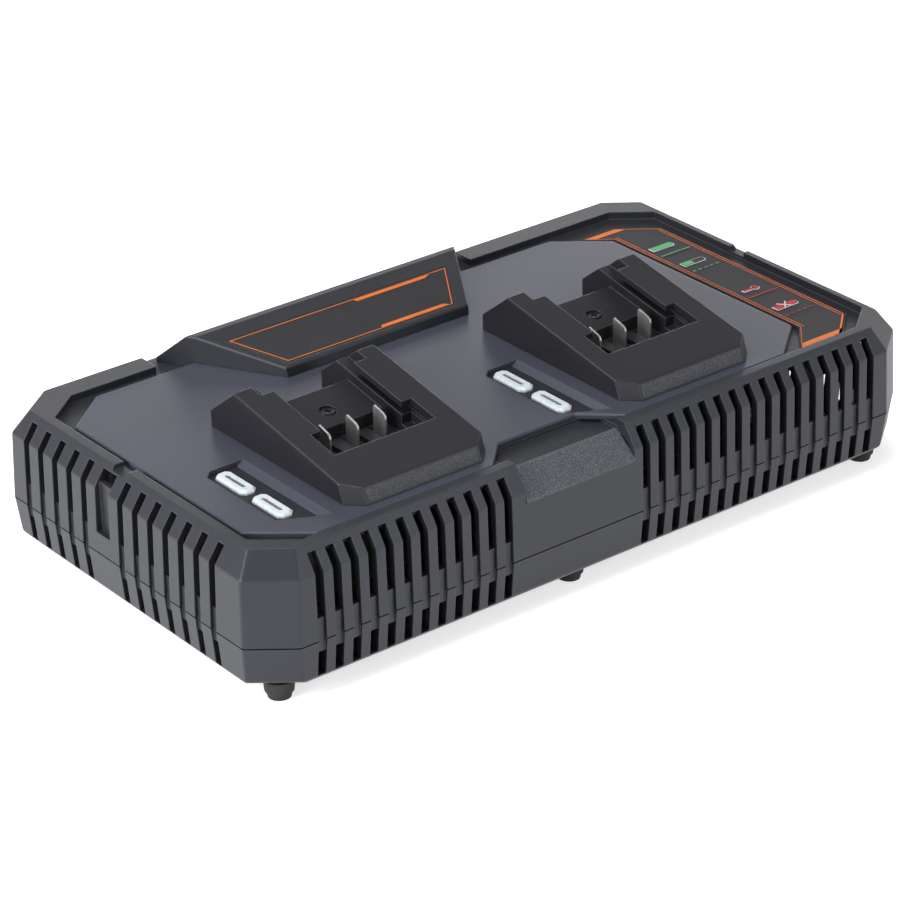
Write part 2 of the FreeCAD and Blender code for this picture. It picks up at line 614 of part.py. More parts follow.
def build_badge_label():
    """Bare label set into the badge face."""
    plan = label_plan()
    mid = sum(p[0] for p in plan) / 4.0
    middle_y = (LABEL_FRONT_Y + LABEL_BACK_Y) / 2.0
    gap = LABEL_GAP
    small = [(x + (gap if x < mid else -gap), y + (gap if y < middle_y else -gap)) for x, y in plan]
    return poly(small, LEDGE_Z, RIDGE_Z).common(badge_slab(-0.6, LABEL_THICKNESS - 0.6))


def build_status_label():
    """Thin status strip in the recess to the right of the deck."""
    front_x, front_y = STRIP_FRONT_CUT
    back_x, back_y = STRIP_BACK_CUT
    toe_x, toe_y = STRIP_FRONT_REACH
    tip_x, tip_y = STRIP_BACK_REACH
    plan = [(STRIP_LEFT - tip_x, STRIP_BACK), (STRIP_RIGHT - back_x, STRIP_BACK),
            (STRIP_RIGHT, STRIP_BACK - back_y), (STRIP_RIGHT, STRIP_FRONT + front_y),
            (STRIP_RIGHT - front_x, STRIP_FRONT), (STRIP_LEFT - toe_x, STRIP_FRONT),
            (STRIP_LEFT, STRIP_FRONT + toe_y), (STRIP_LEFT, STRIP_BACK - tip_y)]
    return poly(plan, LEDGE_Z, LEDGE_Z + STRIP_THICKNESS)


def panel_body(drop, top, front):
    """Solid in front of and above the name panel plane, lowered by the panel thickness and a drop."""
    dy = PANEL_HIGH[0] - PANEL_LOW[0]
    dz = PANEL_HIGH[1] - PANEL_LOW[1]
    length = math.hypot(dy, dz)
    oy = dz / length * (PANEL_THICKNESS + drop)
    oz = -dy / length * (PANEL_THICKNESS + drop)
    low = (PANEL_LOW[0] + oy, PANEL_LOW[1] + oz)
    high = (PANEL_HIGH[0] + oy, PANEL_HIGH[1] + oz)
    foot = (front, low[1])
    return side([foot, low, high, (high[0], top), (front, top)], PANEL_X[0], PANEL_X[1])


def build_name_panel():
    """Bare sloping panel in the front middle."""
    return panel_body(0.0, RIM_Z + 2, -HALF_WIDTH - 2).common(
        side([(PANEL_LOW[0], PANEL_LOW[1] - 6), (PANEL_LOW[0], PANEL_LOW[1]), (PANEL_HIGH[0], PANEL_HIGH[1]),
              (PANEL_HIGH[0] + 3.0, PANEL_HIGH[1]), (PANEL_HIGH[0] + 3.0, PANEL_LOW[1] - 6)],
             PANEL_X[0] + 0.1, PANEL_X[1] - 0.1))


def build_feet():
    """Six tapered rubber feet with stems through the floor."""
    feet = []
    for x, y in foot_places():
        toe = Part.makeCone(FOOT_BOTTOM_R, FOOT_BOTTOM_R + FOOT_STEP, FOOT_STEP_Z, V(x, y, GROUND))
        cone = Part.makeCone(FOOT_TOP_R - FOOT_STEP, FOOT_TOP_R, BASE_Z - FOOT_STEP_Z, V(x, y, FOOT_STEP_Z))
        stem = rod(FOOT_STEM_R, x, y, BASE_Z - 1, BASE_Z + FLOOR + FOOT_STEM_RISE)
        feet.append(toe.fuse([cone, stem]).removeSplitter())
    return Part.Compound(feet)


def screw(x, y, seat, length, down=False):
    """Pan head screw with a cross recess, its head below the seat or above it."""
    if down:
        head = rod(SCREW_HEAD_R, x, y, seat, seat + SCREW_HEAD_H)
        shank = rod(SCREW_R, x, y, seat - length, seat + 0.1)
        z0, z1 = seat + SCREW_HEAD_H - 1.0, seat + SCREW_HEAD_H + 1
    else:
        head = rod(SCREW_HEAD_R, x, y, seat - SCREW_HEAD_H, seat)
        shank = rod(SCREW_R, x, y, seat - 0.1, seat + length)
        z0, z1 = seat - SCREW_HEAD_H - 1, seat - SCREW_HEAD_H + 1.0
    cross = box(x - 1.7, x + 1.7, y - 0.35, y + 0.35, z0, z1)
    cross = cross.fuse(box(x - 0.35, x + 0.35, y - 1.7, y + 1.7, z0, z1))
    return head.fuse(shank).removeSplitter().cut(cross)


def build_main_board():
    """Circuit board on four standoffs."""
    board = poly(cut_rectangle(-BOARD_HALF_X, BOARD_HALF_X, -BOARD_HALF_Y, BOARD_HALF_Y, 3, 3),
                 BOARD_Z, BOARD_Z + BOARD_T)
    holes = [rod(SCREW_R + BORE_CLEARANCE, x, y, BOARD_Z - 1, BOARD_Z + 3) for x, y in standoff_places()]
    return board.cut(Part.Compound(holes))


def build_transformer_core(top=BOARD_Z + BOARD_T):
    """Two-window ferrite core."""
    core = box(-32, 10, 4, 40, top + 3, top + 28)
    windows = [box(-27, -16, 3, 41, top + 8, top + 23), box(-6, 5, 3, 41, top + 8, top + 23)]
    return core.cut(Part.Compound(windows))


def build_transformer_coil(top=BOARD_Z + BOARD_T):
    """Winding and foot round the middle limb of the core."""
    coil = box(-26.6, 4.6, -1, 45, top + 8.3, top + 22.7)
    hollow = box(-16.0, -6.0, 4, 40, top + 3, top + 28)
    foot = [box(-30, 8, -4, 3.6, top, top + 8.8), box(-30, 8, 40.4, 48, top, top + 8.8)]
    return coil.cut(hollow.fuse(box(-40, 20, 4, 40, top + 22.7, top + 30))).fuse(foot).removeSplitter()


def build_capacitors(top=BOARD_Z + BOARD_T):
    """Two tall smoothing capacitors."""
    cans = []
    for x in CAPACITOR_X:
        can = rod(8.0, x, 30.0, top, top + 27.0)
        crest = [e for e in can.Edges if e.BoundBox.ZMin > top + 26.9]
        can = can.makeChamfer(1.0, crest)
        cans.append(can.cut(box(x - 6, x + 6, 29.7, 30.3, top + 26.6, top + 28)))
    return Part.Compound(cans)


def build_choke(top=BOARD_Z + BOARD_T):
    """Ring choke standing on the board."""
    z = top + 11.4
    x, y = CHOKE_X, CHOKE_Y
    ring = Part.makeCylinder(11.4, 7.0, V(x, y - 3.5, z), V(0, 1, 0))
    ring = ring.makeChamfer(1.2, [e for e in ring.Edges if e.BoundBox.YLength < 0.01])
    ring = ring.cut(Part.makeCylinder(5.0, 9.0, V(x, y - 4.5, z), V(0, 1, 0)))
    return ring.fuse(box(x - 7, x + 7, y - 4, y + 4, top, top + 2.2)).removeSplitter()


def build_heatsink(top=BOARD_Z + BOARD_T):
    """Finned heat sink beside the fan."""
    x = SINK_X
    sink = box(x, x + 66, 14, 18, top, top + 30)
    fins = [box(x + 1 + 7.0 * i, x + 3 + 7.0 * i, 17, 40, top, top + 30) for i in range(10)]
    return sink.fuse(fins).removeSplitter()


def build_transistors(top=BOARD_Z + BOARD_T):
    """Four power transistors clamped to the heat sink."""
    parts = []
    for x in [SINK_X + 6.0 + 16.0 * i for i in range(4)]:
        body = box(x, x + 10, 9.4, 14, top + 6, top + 21)
        legs = [box(x + 1.2 + 2.6 * i, x + 2.2 + 2.6 * i, 11.2, 11.9, top, top + 6.5) for i in range(3)]
        parts.append(body.fuse(legs).removeSplitter())
    return Part.Compound(parts)


def build_fuse(top=BOARD_Z + BOARD_T):
    """Cartridge fuse in two clips."""
    x = FUSE_X
    tube = Part.makeCylinder(2.6, 20, V(x, 6, top + 4.6), V(1, 0, 0))
    clips = [box(x + 1, x + 5, 3.6, 8.4, top, top + 4.6), box(x + 15, x + 19, 3.6, 8.4, top, top + 4.6)]
    return tube.fuse(clips).removeSplitter()


def build_fan_frame():
    """Square fan frame with round bore, spider arms and bearing."""
    z0 = BASE_Z + FLOOR
    mid = z0 + FAN_SIZE / 2.0
    half = FAN_SIZE / 2.0
    frame = box(FAN_X, FAN_X + FAN_DEPTH, -half, half, z0, z0 + FAN_SIZE)
    upright = [e for e in frame.Edges if abs(e.BoundBox.XLength - FAN_DEPTH) < 0.01]
    frame = frame.makeFillet(3.0, upright)
    frame = frame.cut(Part.makeCylinder(FAN_BORE_R, FAN_DEPTH + 2, V(FAN_X - 1, 0, mid), V(1, 0, 0)))
    hub_x = FAN_X + FAN_DEPTH - 3.0
    arms = [Part.makeCylinder(FAN_HUB_R, 3.0, V(hub_x, 0, mid), V(1, 0, 0)),
            box(hub_x, hub_x + 2.4, -half + 0.5, half - 0.5, mid - 1.2, mid + 1.2),
            box(hub_x, hub_x + 2.4, -1.2, 1.2, mid - half + 0.5, mid + half - 0.5)]
    frame = frame.fuse(arms)
    holes = [Part.makeCylinder(FAN_SHAFT_R + FAN_CLEARANCE, 5, V(hub_x - 1, 0, mid), V(1, 0, 0))]
    for sy in (-1, 1):
        for sz in (-1, 1):
            place = V(FAN_X - 1, FAN_HOLE_PLACE * sy, mid + FAN_HOLE_PLACE * sz)
            holes.append(Part.makeCylinder(FAN_HOLE_R, FAN_DEPTH + 2, place, V(1, 0, 0)))
    return frame.cut(Part.Compound(holes)).removeSplitter()


def build_fan_rotor():
    """Hub with shaft and pitched blades."""
    mid = BASE_Z + FLOOR + FAN_SIZE / 2.0
    x0 = FAN_X + 1.0
    depth = FAN_DEPTH - 3.0 - 1.0 - 0.5
    hub = Part.makeCylinder(FAN_HUB_R, depth, V(x0, 0, mid), V(1, 0, 0))
    crest = [e for e in hub.Edges if e.BoundBox.XMax < x0 + 0.01]
    hub = hub.makeChamfer(1.2, crest)
    shaft = Part.makeCylinder(FAN_SHAFT_R, depth + 3.0, V(x0, 0, mid), V(1, 0, 0))
    blades = []
    for i in range(FAN_BLADES):
        root = Part.makePolygon([V(x0 + 1.0, -2.6, FAN_HUB_R - 1), V(x0 + 2.0, -2.9, FAN_HUB_R - 1),
                                 V(x0 + depth - 1.0, 2.6, FAN_HUB_R - 1),
                                 V(x0 + depth - 2.0, 2.9, FAN_HUB_R - 1),
                                 V(x0 + 1.0, -2.6, FAN_HUB_R - 1)])
        tip = Part.makePolygon([V(x0 + 1.0, -4.4, FAN_BLADE_R - 0.5), V(x0 + 2.0, -4.8, FAN_BLADE_R - 0.5),
                                V(x0 + depth - 2.0, 4.0, FAN_BLADE_R - 0.5),
                                V(x0 + depth - 3.0, 4.4, FAN_BLADE_R - 0.5),
                                V(x0 + 1.0, -4.4, FAN_BLADE_R - 0.5)])
        blade = Part.makeLoft([root, tip], True, True)
        blade.rotate(V(0, 0, 0), V(1, 0, 0), 360.0 / FAN_BLADES * i)
        blade.translate(V(0, 0, mid))
        blades.append(blade)
    ring = Part.makeCylinder(FAN_BLADE_R, depth, V(x0, 0, mid), V(1, 0, 0))
    return hub.fuse(blades).common(ring).fuse(shaft).removeSplitter()


def build_inlet():
    """Mains inlet body with a figure-eight cavity."""
    w = INLET_W / 2.0 - 0.1
    h = INLET_H / 2.0 - 0.1
    back = HALF_WIDTH - INLET_SINK
    front = back - INLET_DEPTH
    body = box(INLET_X - w, INLET_X + w, front, back, INLET_Z - h, INLET_Z + h)
    inner = HALF_WIDTH - WALL - 1.0
    flange = w + INLET_FLANGE
    ears = box(INLET_X - flange, INLET_X + flange, inner - 2.4, inner, INLET_Z - h - 2, INLET_Z + h + 2)
    body = body.fuse(ears)
    half = INLET_PIN_PITCH / 2.0
    lobes = [Part.makeCylinder(4.4, 14.0, V(INLET_X + sx * half, back - 13.0, INLET_Z), V(0, 1, 0))
             for sx in (-1, 1)]
    lobes.append(box(INLET_X - half, INLET_X + half, back - 13.0, back + 1, INLET_Z - 3.4, INLET_Z + 3.4))
    bores = [Part.makeCylinder(INLET_PIN_R + PIN_CLEARANCE, 30, V(INLET_X + sx * half, front - 5, INLET_Z),
                               V(0, 1, 0)) for sx in (-1, 1)]
    return body.cut(Part.Compound(lobes)).cut(Part.Compound(bores)).removeSplitter()


def build_inlet_pins():
    """Two round contact pins with solder tails."""
    back = HALF_WIDTH - INLET_SINK
    half = INLET_PIN_PITCH / 2.0
    pins = []
    for sx in (-1, 1):
        tail = V(INLET_X + sx * half, back - INLET_DEPTH - 5, INLET_Z)
        pin = Part.makeCylinder(INLET_PIN_R, INLET_DEPTH + 2.0, tail, V(0, 1, 0))
        tip = [e for e in pin.Edges if e.BoundBox.YMin > back - 3.1]
        pins.append(pin.makeChamfer(0.4, tip))
    return Part.Compound(pins)


def strip(path, half, x):
    """Flat lead of even thickness along a path in the Y-Z plane."""
    left = []
    right = []
    for i, (y, z) in enumerate(path):
        before = path[max(0, i - 1)]
        after = path[min(len(path) - 1, i + 1)]
        dy = after[0] - before[0]
        dz = after[1] - before[1]
        length = math.hypot(dy, dz)
        left.append((y - dz / length * half, z + dy / length * half))
        right.append((y + dz / length * half, z - dy / length * half))
    return side(left + right[::-1], x - LEAD_R, x + LEAD_R)


def build_harness(centre):
    """Three flat leads from the board up to the blade feet."""
    y = (BLADE_Y[0] + BLADE_Y[1]) / 2.0
    top = BOARD_Z + BOARD_T
    path = [(y - 6, top), (y - 6, top + 5), (y - 4.8, top + 9), (y - 1.2, top + 15), (y, top + 19),
            (y, BLADE_FOOT_Z)]
    return Part.Compound([strip(path, LEAD_R, centre + i * BLADE_PITCH) for i in (-1, 0, 1)])


def build_mains_leads():
    """Two flat leads from the inlet pins down to the board."""
    y = HALF_WIDTH - INLET_SINK - INLET_DEPTH - 5
    top = BOARD_Z + BOARD_T
    path = [(y, INLET_Z), (y - 6, INLET_Z), (y - 10, INLET_Z - 1.2), (y - 20, INLET_Z - 10),
            (y - 24, INLET_Z - 14), (y - 24, top)]
    half = INLET_PIN_PITCH / 2.0
    return Part.Compound([strip(path, LEAD_R, INLET_X + sx * half) for sx in (-1, 1)])


def main():
    """Build every piece and write one file per piece."""
    os.makedirs("parts", exist_ok=True)
    left, right = BAY_CENTRES
    case_screws = [screw(x, y, SCREW_SEAT_Z, SCREW_LENGTH) for x, y in case_screw_places()]
    bay_screws = [screw(c, BAY_SCREW_Y, bay_screw_seat(), BAY_SCREW_LENGTH, True) for c in BAY_CENTRES]
    board_top = BOARD_Z + BOARD_T
    board_screws = [screw(x, y, board_top, BOARD_SCREW_LENGTH, True) for x, y in standoff_places()]
    pieces = {
        "upper_shell": build_upper_shell(),
        "lower_shell": build_lower_shell(),
        "deck_plate": build_deck_plate(),
        "bay_left": build_bay(left),
        "bay_right": build_bay(right),
        "terminal_block_left": build_terminal_block(left),
        "terminal_block_right": build_terminal_block(right),
        "terminal_blades_left": build_blades(left),
        "terminal_blades_right": build_blades(right),
        "status_windows_left": build_lenses(left),
        "status_windows_right": build_lenses(right),
        "lamp_board_left": build_lamp_board(left),
        "lamp_board_right": build_lamp_board(right),
        "lamps": build_lamps(),
        "badge_block": build_badge_block(),
        "badge_label": build_badge_label(),
        "status_label": build_status_label(),
        "name_panel": build_name_panel(),
        "feet": build_feet(),
        "case_screws": Part.Compound(case_screws),
        "bay_screws": Part.Compound(bay_screws),
        "board_screws": Part.Compound(board_screws),
        "main_board": build_main_board(),
        "transformer_core": build_transformer_core(),
        "transformer_coil": build_transformer_coil(),
        "capacitors": build_capacitors(),
        "line_choke": build_choke(),
        "heat_sink": build_heatsink(),
        "transistors": build_transistors(),
        "line_fuse": build_fuse(),
        "fan_frame": build_fan_frame(),
        "fan_rotor": build_fan_rotor(),
        "mains_inlet": build_inlet(),
        "inlet_pins": build_inlet_pins(),
        "mains_leads": build_mains_leads(),
        "harness_left": build_harness(left),
        "harness_right": build_harness(right),
    }
    for name, shape in pieces.items():
        shape.exportStep("parts/" + name + ".step")


main()
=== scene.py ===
"""Studio scene of a twin bay battery charger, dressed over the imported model."""

import logging
import math
from dataclasses import dataclass, field
from enum import Enum, IntEnum

import bpy
from mathutils import Matrix, Vector


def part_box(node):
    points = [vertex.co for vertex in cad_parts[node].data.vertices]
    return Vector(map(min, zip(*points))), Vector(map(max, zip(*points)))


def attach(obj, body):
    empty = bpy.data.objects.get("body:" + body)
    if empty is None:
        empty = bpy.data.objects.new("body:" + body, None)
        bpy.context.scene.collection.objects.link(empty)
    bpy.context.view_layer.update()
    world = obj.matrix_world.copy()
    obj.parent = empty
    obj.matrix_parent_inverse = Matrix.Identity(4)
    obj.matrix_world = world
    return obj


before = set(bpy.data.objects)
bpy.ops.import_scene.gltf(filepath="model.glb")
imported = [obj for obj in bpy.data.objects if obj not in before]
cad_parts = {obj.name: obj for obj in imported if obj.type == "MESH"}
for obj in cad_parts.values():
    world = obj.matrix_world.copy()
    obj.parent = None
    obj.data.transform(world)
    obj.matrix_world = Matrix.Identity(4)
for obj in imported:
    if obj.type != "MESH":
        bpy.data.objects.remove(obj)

LOG = logging.getLogger("charger")
MM = 0.001
BODY = "charger"
PHOTO_PIXELS = 904
DISC_SIDES = 14
BEVEL_SAMPLES = 6
# Painted edge highlight: fades in over this range of agreement between the bevelled and the true normal.
EDGE_HIGHLIGHT_RANGE = (0.80, 0.985)
Point2 = tuple[float, float]
Point3 = tuple[float, float, float]
Colour = tuple[float, float, float]
Outline = list[Point2]
Socket = bpy.types.NodeSocket


def mm(value: float) -> float:
    """Millimetres as metres."""
    return value * MM


def scaled(tint: Colour, factor: float, lift: float = 0.0) -> Colour:
    """Colour made paler or darker, at most full.

    Args:
        tint: Colour to change.
        factor: What each channel is multiplied by.
        lift: What is added to each channel.

    Returns:
        The changed colour.
    """
    red, green, blue = (min(1.0, channel * factor + lift) for channel in tint)
    return (red, green, blue)


def box_of(node: str) -> tuple[Vector, Vector]:
    """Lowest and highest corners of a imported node."""
    low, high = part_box(node)
    return Vector(low), Vector(high)


@dataclass(frozen=True)
class Seam:
    """Parting line between the two case halves, on the outer skin only, where a shadow is painted."""

    height: float
    half_length: float
    half_width: float
    half_gap: float = mm(0.24)
    depth: float = mm(0.7)
    corner_x: float = mm(16.3)
    corner_y: float = mm(12.8)
    corner_reach: float = mm(10.0)


def case_seam() -> Seam:
    """Parting line at the foot of the upper case half."""
    low, high = box_of("upper_shell")
    return Seam(low.z, high.x, high.y)


class Graph:
    """Node tree with short calls that add, link and combine nodes."""

    def __init__(self, tree: bpy.types.NodeTree) -> None:
        """Take hold of a node tree.

        Args:
            tree: Tree of a material or of the world.
        """
        self.tree = tree

    def add(self, kind: str, **settings: object) -> bpy.types.Node:
        """Add one node.

        Args:
            kind: Blender's node type name.
            settings: Attributes to set on the node.

        Returns:
            The new node.
        """
        node = self.tree.nodes.new(kind)
        for key, value in settings.items():
            setattr(node, key, value)
        return node

    def link(self, source: Socket, target: Socket) -> None:
        """Join two sockets."""
        self.tree.links.new(source, target)

    def math(self, operation: str, first: Socket | float, second: Socket | float = 0.0) -> Socket:
        """One arithmetic step.

        Args:
            operation: Blender's name of the operation.
            first: Left value, a socket or a number.
            second: Right value, a socket or a number.

        Returns:
            The result socket.
        """
        node = self.add("ShaderNodeMath", operation=operation)
        for socket, value in zip(node.inputs, (first, second)):
            if isinstance(value, Socket):
                self.link(value, socket)
            else:
                socket.default_value = value
        return node.outputs["Value"]

    def spread(self, source: Socket, low: float, high: float,
               start: float = 0.3, end: float = 0.7) -> Socket:
        """Map a factor to a range.

        Args:
            source: Factor to map.
            low: Value at the start.
            high: Value at the end.
            start: Factor that gives the low value.
            end: Factor that gives the high value.

        Returns:
            The mapped value socket.
        """
        node = self.add("ShaderNodeMapRange")
        node.inputs["From Min"].default_value = start
        node.inputs["From Max"].default_value = end
        node.inputs["To Min"].default_value = low
        node.inputs["To Max"].default_value = high
        self.link(source, node.inputs["Value"])
        return node.outputs["Result"]


class SurfaceGraph(Graph):
    """Node tree of one material, round a principled shader."""

    def __init__(self, name: str) -> None:
        """Start a new material.

        Args:
            name: Name of the material.
        """
        self.material = bpy.data.materials.new(name)
        self.material.use_nodes = True
        super().__init__(self.material.node_tree)
        self.tree.nodes.clear()
        self.output = self.add("ShaderNodeOutputMaterial")
        self.shader = self.add("ShaderNodeBsdfPrincipled")
        self.link(self.shader.outputs["BSDF"], self.output.inputs["Surface"])

    def tune(self, **values: float | tuple[float, ...]) -> None:
        """Set plain inputs of the shader, named with underscores for spaces."""
        for key, value in values.items():
            self.shader.inputs[key.replace("_", " ")].default_value = value

    def place(self) -> Socket:
        """Object coordinates in metres."""
        return self.add("ShaderNodeTexCoord").outputs["Object"]

    def noise(self, scale: float, detail: float = 3.0, roughness: float = 0.55) -> Socket:
        """Noise over the object.

        Args:
            scale: Features per metre.
            detail: Number of octaves.
            roughness: Weight of the finer octaves.

        Returns:
            The factor socket.
        """
        node = self.add("ShaderNodeTexNoise")
        node.inputs["Scale"].default_value = scale
        node.inputs["Detail"].default_value = detail
        node.inputs["Roughness"].default_value = roughness
        self.link(self.place(), node.inputs["Vector"])
        return node.outputs["Fac"]

    def blend(self, factor: Socket, low: Colour | Socket, high: Colour) -> Socket:
        """Blend two colours by a factor.

        Args:
            factor: Blend factor.
            low: Colour at zero, or the socket that gives it.
            high: Colour at one.

        Returns:
            The colour socket.
        """
        node = self.add("ShaderNodeMix", data_type="RGBA")
        if isinstance(low, Socket):
            self.link(low, node.inputs["A"])
        else:
            node.inputs["A"].default_value = (*low, 1.0)
        node.inputs["B"].default_value = (*high, 1.0)
        self.link(factor, node.inputs["Factor"])
        return node.outputs["Result"]

    def paint(self, colour: Socket) -> None:
        """Use a colour socket as the base colour."""
        self.link(colour, self.shader.inputs["Base Color"])

    def sheen(self, factor: Socket, middle: float, down: float, up: float) -> None:
        """Let the roughness follow a factor.

        Args:
            factor: Factor to follow.
            middle: Roughness in the middle.
            down: How far it falls below the middle.
            up: How far it rises over the middle.
        """
        self.link(self.spread(factor, middle - down, middle + up), self.shader.inputs["Roughness"])

    def bevel(self, radius: float) -> Socket:
        """Normal that is rounded over the edges.

        Args:
            radius: Radius in metres of the rounding.

        Returns:
            The normal socket.
        """
        node = self.add("ShaderNodeBevel", samples=BEVEL_SAMPLES)
        node.inputs["Radius"].default_value = radius
        return node.outputs["Normal"]

    def relief(self, height: Socket, depth: float, soften: float = 0.0) -> None:
        """Bump the surface, with softened edges under it.

        Args:
            height: Height factor.
            depth: Depth in metres of a full step.
            soften: Radius in metres of the softened edges.
        """
        bump = self.add("ShaderNodeBump")
        bump.inputs["Strength"].default_value = 1.0
        bump.inputs["Distance"].default_value = depth
        self.link(height, bump.inputs["Height"])
        if soften > 0.0:
            self.link(self.bevel(soften), bump.inputs["Normal"])
        self.link(bump.outputs["Normal"], self.shader.inputs["Normal"])

    def edge_highlight_factor(self, radius: float) -> Socket:
        """Factor that is one on outer edges, where a highlight is painted.

        Args:
            radius: Width in metres of the painted edge highlight.

        Returns:
            The factor socket.
        """
        geometry = self.add("ShaderNodeNewGeometry")
        dot = self.add("ShaderNodeVectorMath", operation="DOT_PRODUCT")
        self.link(self.bevel(radius), dot.inputs[0])
        self.link(geometry.outputs["True Normal"], dot.inputs[1])
        return self.spread(dot.outputs["Value"], 1.0, 0.0, *EDGE_HIGHLIGHT_RANGE)

    def seam_shadow_factor(self, seam: Seam) -> Socket:
        """Factor that is one on the outer parting line of the case, where a shadow is painted.

        Args:
            seam: Where the line runs.

        Returns:
            The factor socket.
        """
        split = self.add("ShaderNodeSeparateXYZ")
        self.link(self.place(), split.inputs["Vector"])
        ends = self.math("SUBTRACT", self.math("ABSOLUTE", split.outputs["X"]), seam.half_length)
        sides = self.math("SUBTRACT", self.math("ABSOLUTE", split.outputs["Y"]), seam.half_width)
        over_x = self.math("DIVIDE", self.math("ADD", ends, seam.corner_x), seam.corner_x)
        over_y = self.math("DIVIDE", self.math("ADD", sides, seam.corner_y), seam.corner_y)
        over = self.math("SUBTRACT", self.math("ADD", over_x, over_y), 1.0)
        corner = self.math("MULTIPLY", over, seam.corner_reach)
        skin = self.math("MAXIMUM", self.math("MAXIMUM", ends, sides), corner)
        outer = self.math("GREATER_THAN", skin, -seam.depth)
        height = self.math("ABSOLUTE", self.math("SUBTRACT", split.outputs["Z"], seam.height))
        return self.math("MULTIPLY", outer, self.math("LESS_THAN", height, seam.half_gap))


@dataclass(frozen=True)
class MouldedPlastic:
    """Moulded plastic with spark-eroded grain, soft mottling and pale edges that are a painted highlight."""

    name: str
    tint: Colour
    roughness: float = 0.5
    grain: float = 1400.0
    grain_depth: float = mm(0.04)
    mottle: float = 0.12
    mottle_scale: float = 22.0
    # Painted edge highlight: edges take the tint times the gain, plus the lift.
    highlight_gain: float = 1.5
    highlight_lift: float = 0.01
    edge_radius: float = mm(0.5)
    specular: float = 0.5
    gloss_tint: Colour = (0.88, 0.90, 1.0)
    unevenness: float = 0.07
    # Near-black colour painted along the parting line as its shadow.
    seam_shadow_tint: Colour = (0.001, 0.001, 0.001)
    seam: Seam | None = None

    def build(self) -> bpy.types.Material:
        """Make the material.

        Returns:
            The finished material.
        """
        graph = SurfaceGraph(self.name)
        graph.tune(Specular_IOR_Level=self.specular, Specular_Tint=(*self.gloss_tint, 1.0))
        broad = graph.spread(graph.noise(self.mottle_scale, detail=4.0), 0.0, 1.0)
        base = graph.blend(broad, scaled(self.tint, 1.0 - self.mottle), scaled(self.tint, 1.0 + self.mottle))
        # Paler edges, painted as a highlight.
        edge_highlight_tint = scaled(self.tint, self.highlight_gain, self.highlight_lift)
        skin = graph.blend(graph.edge_highlight_factor(self.edge_radius), base, edge_highlight_tint)
        # Painted shadow along the parting line: near-black colour and no specular there.
        if self.seam is not None:
            line = graph.seam_shadow_factor(self.seam)
            skin = graph.blend(line, skin, self.seam_shadow_tint)
            gloss = graph.math("MULTIPLY", graph.math("SUBTRACT", 1.0, line), self.specular)
            graph.link(gloss, graph.shader.inputs["Specular IOR Level"])
        graph.paint(skin)
        fine = graph.noise(self.grain, detail=2.0, roughness=0.6)
        graph.sheen(fine, self.roughness, self.unevenness, self.unevenness)
        graph.relief(fine, self.grain_depth, self.edge_radius)
        return graph.material


@dataclass(frozen=True)
class SpeckledPlastic:
    """Coarse grained plastic whose grain shows as pale specks."""

    name: str
    tint: Colour
    speck: Colour
    roughness: float = 0.62
    unevenness: float = 0.1
    grain: float = 900.0
    grain_depth: float = mm(0.12)
    speck_range: Point2 = (0.42, 0.66)
    edge_radius: float = mm(0.4)

    def build(self) -> bpy.types.Material:
        """Make the material.

        Returns:
            The finished material.
        """
        graph = SurfaceGraph(self.name)
        fine = graph.noise(self.grain, detail=1.5, roughness=0.7)
        graph.paint(graph.blend(graph.spread(fine, 0.0, 1.0, *self.speck_range), self.tint, self.speck))
        graph.sheen(fine, self.roughness, self.unevenness, self.unevenness)
        graph.relief(fine, self.grain_depth, self.edge_radius)
        return graph.material


@dataclass(frozen=True)
class PlatedMetal:
    """Plated or milled metal with fine drawn lines."""

    name: str
    tint: Colour
    roughness: float = 0.25
    sheen: Point2 = (0.06, 0.10)
    line_scale: float = 900.0
    line_depth: float = mm(0.003)
    stretch: Point3 = (1.0, 1.0, 12.0)
    tarnish: float = 0.82
    tarnish_scale: float = 160.0
    edge_radius: float = mm(0.1)

    def build(self) -> bpy.types.Material:
        """Make the material.

        Returns:
            The finished material.
        """
        graph = SurfaceGraph(self.name)
        graph.tune(Metallic=1.0)
        mapping = graph.add("ShaderNodeMapping")
        mapping.inputs["Scale"].default_value = self.stretch
        graph.link(graph.place(), mapping.inputs["Vector"])
        lines = graph.add("ShaderNodeTexNoise")
        lines.inputs["Scale"].default_value = self.line_scale
        lines.inputs["Detail"].default_value = 3.0
        graph.link(mapping.outputs["Vector"], lines.inputs["Vector"])
        dull = graph.spread(graph.noise(self.tarnish_scale), 0.0, 1.0)
        graph.paint(graph.blend(dull, scaled(self.tint, self.tarnish), self.tint))
        graph.sheen(lines.outputs["Fac"], self.roughness, *self.sheen)
        graph.relief(lines.outputs["Fac"], self.line_depth, self.edge_radius)
        return graph.material


@dataclass(frozen=True)
class PrintedFilm:
    """Smooth polyester label film or printed ink."""

    name: str
    tint: Colour
    roughness: float = 0.38
    sheen: Point2 = (0.04, 0.05)
    coat: float = 0.15
    specular: float = 0.5
    cloud: Point2 = (0.94, 1.05)
    cloud_scale: float = 90.0
    grain: float = 2200.0
    grain_depth: float = mm(0.008)

    def build(self) -> bpy.types.Material:
        """Make the material.

        Returns:
            The finished material.
        """
        graph = SurfaceGraph(self.name)
        graph.tune(Coat_Weight=self.coat, Specular_IOR_Level=self.specular)
        dim, bright = self.cloud
        cloud = graph.spread(graph.noise(self.cloud_scale), 0.0, 1.0)
        graph.paint(graph.blend(cloud, scaled(self.tint, dim), scaled(self.tint, bright)))
        fine = graph.noise(self.grain, detail=2.0)
        graph.sheen(fine, self.roughness, *self.sheen)
        graph.relief(fine, self.grain_depth)
        return graph.material


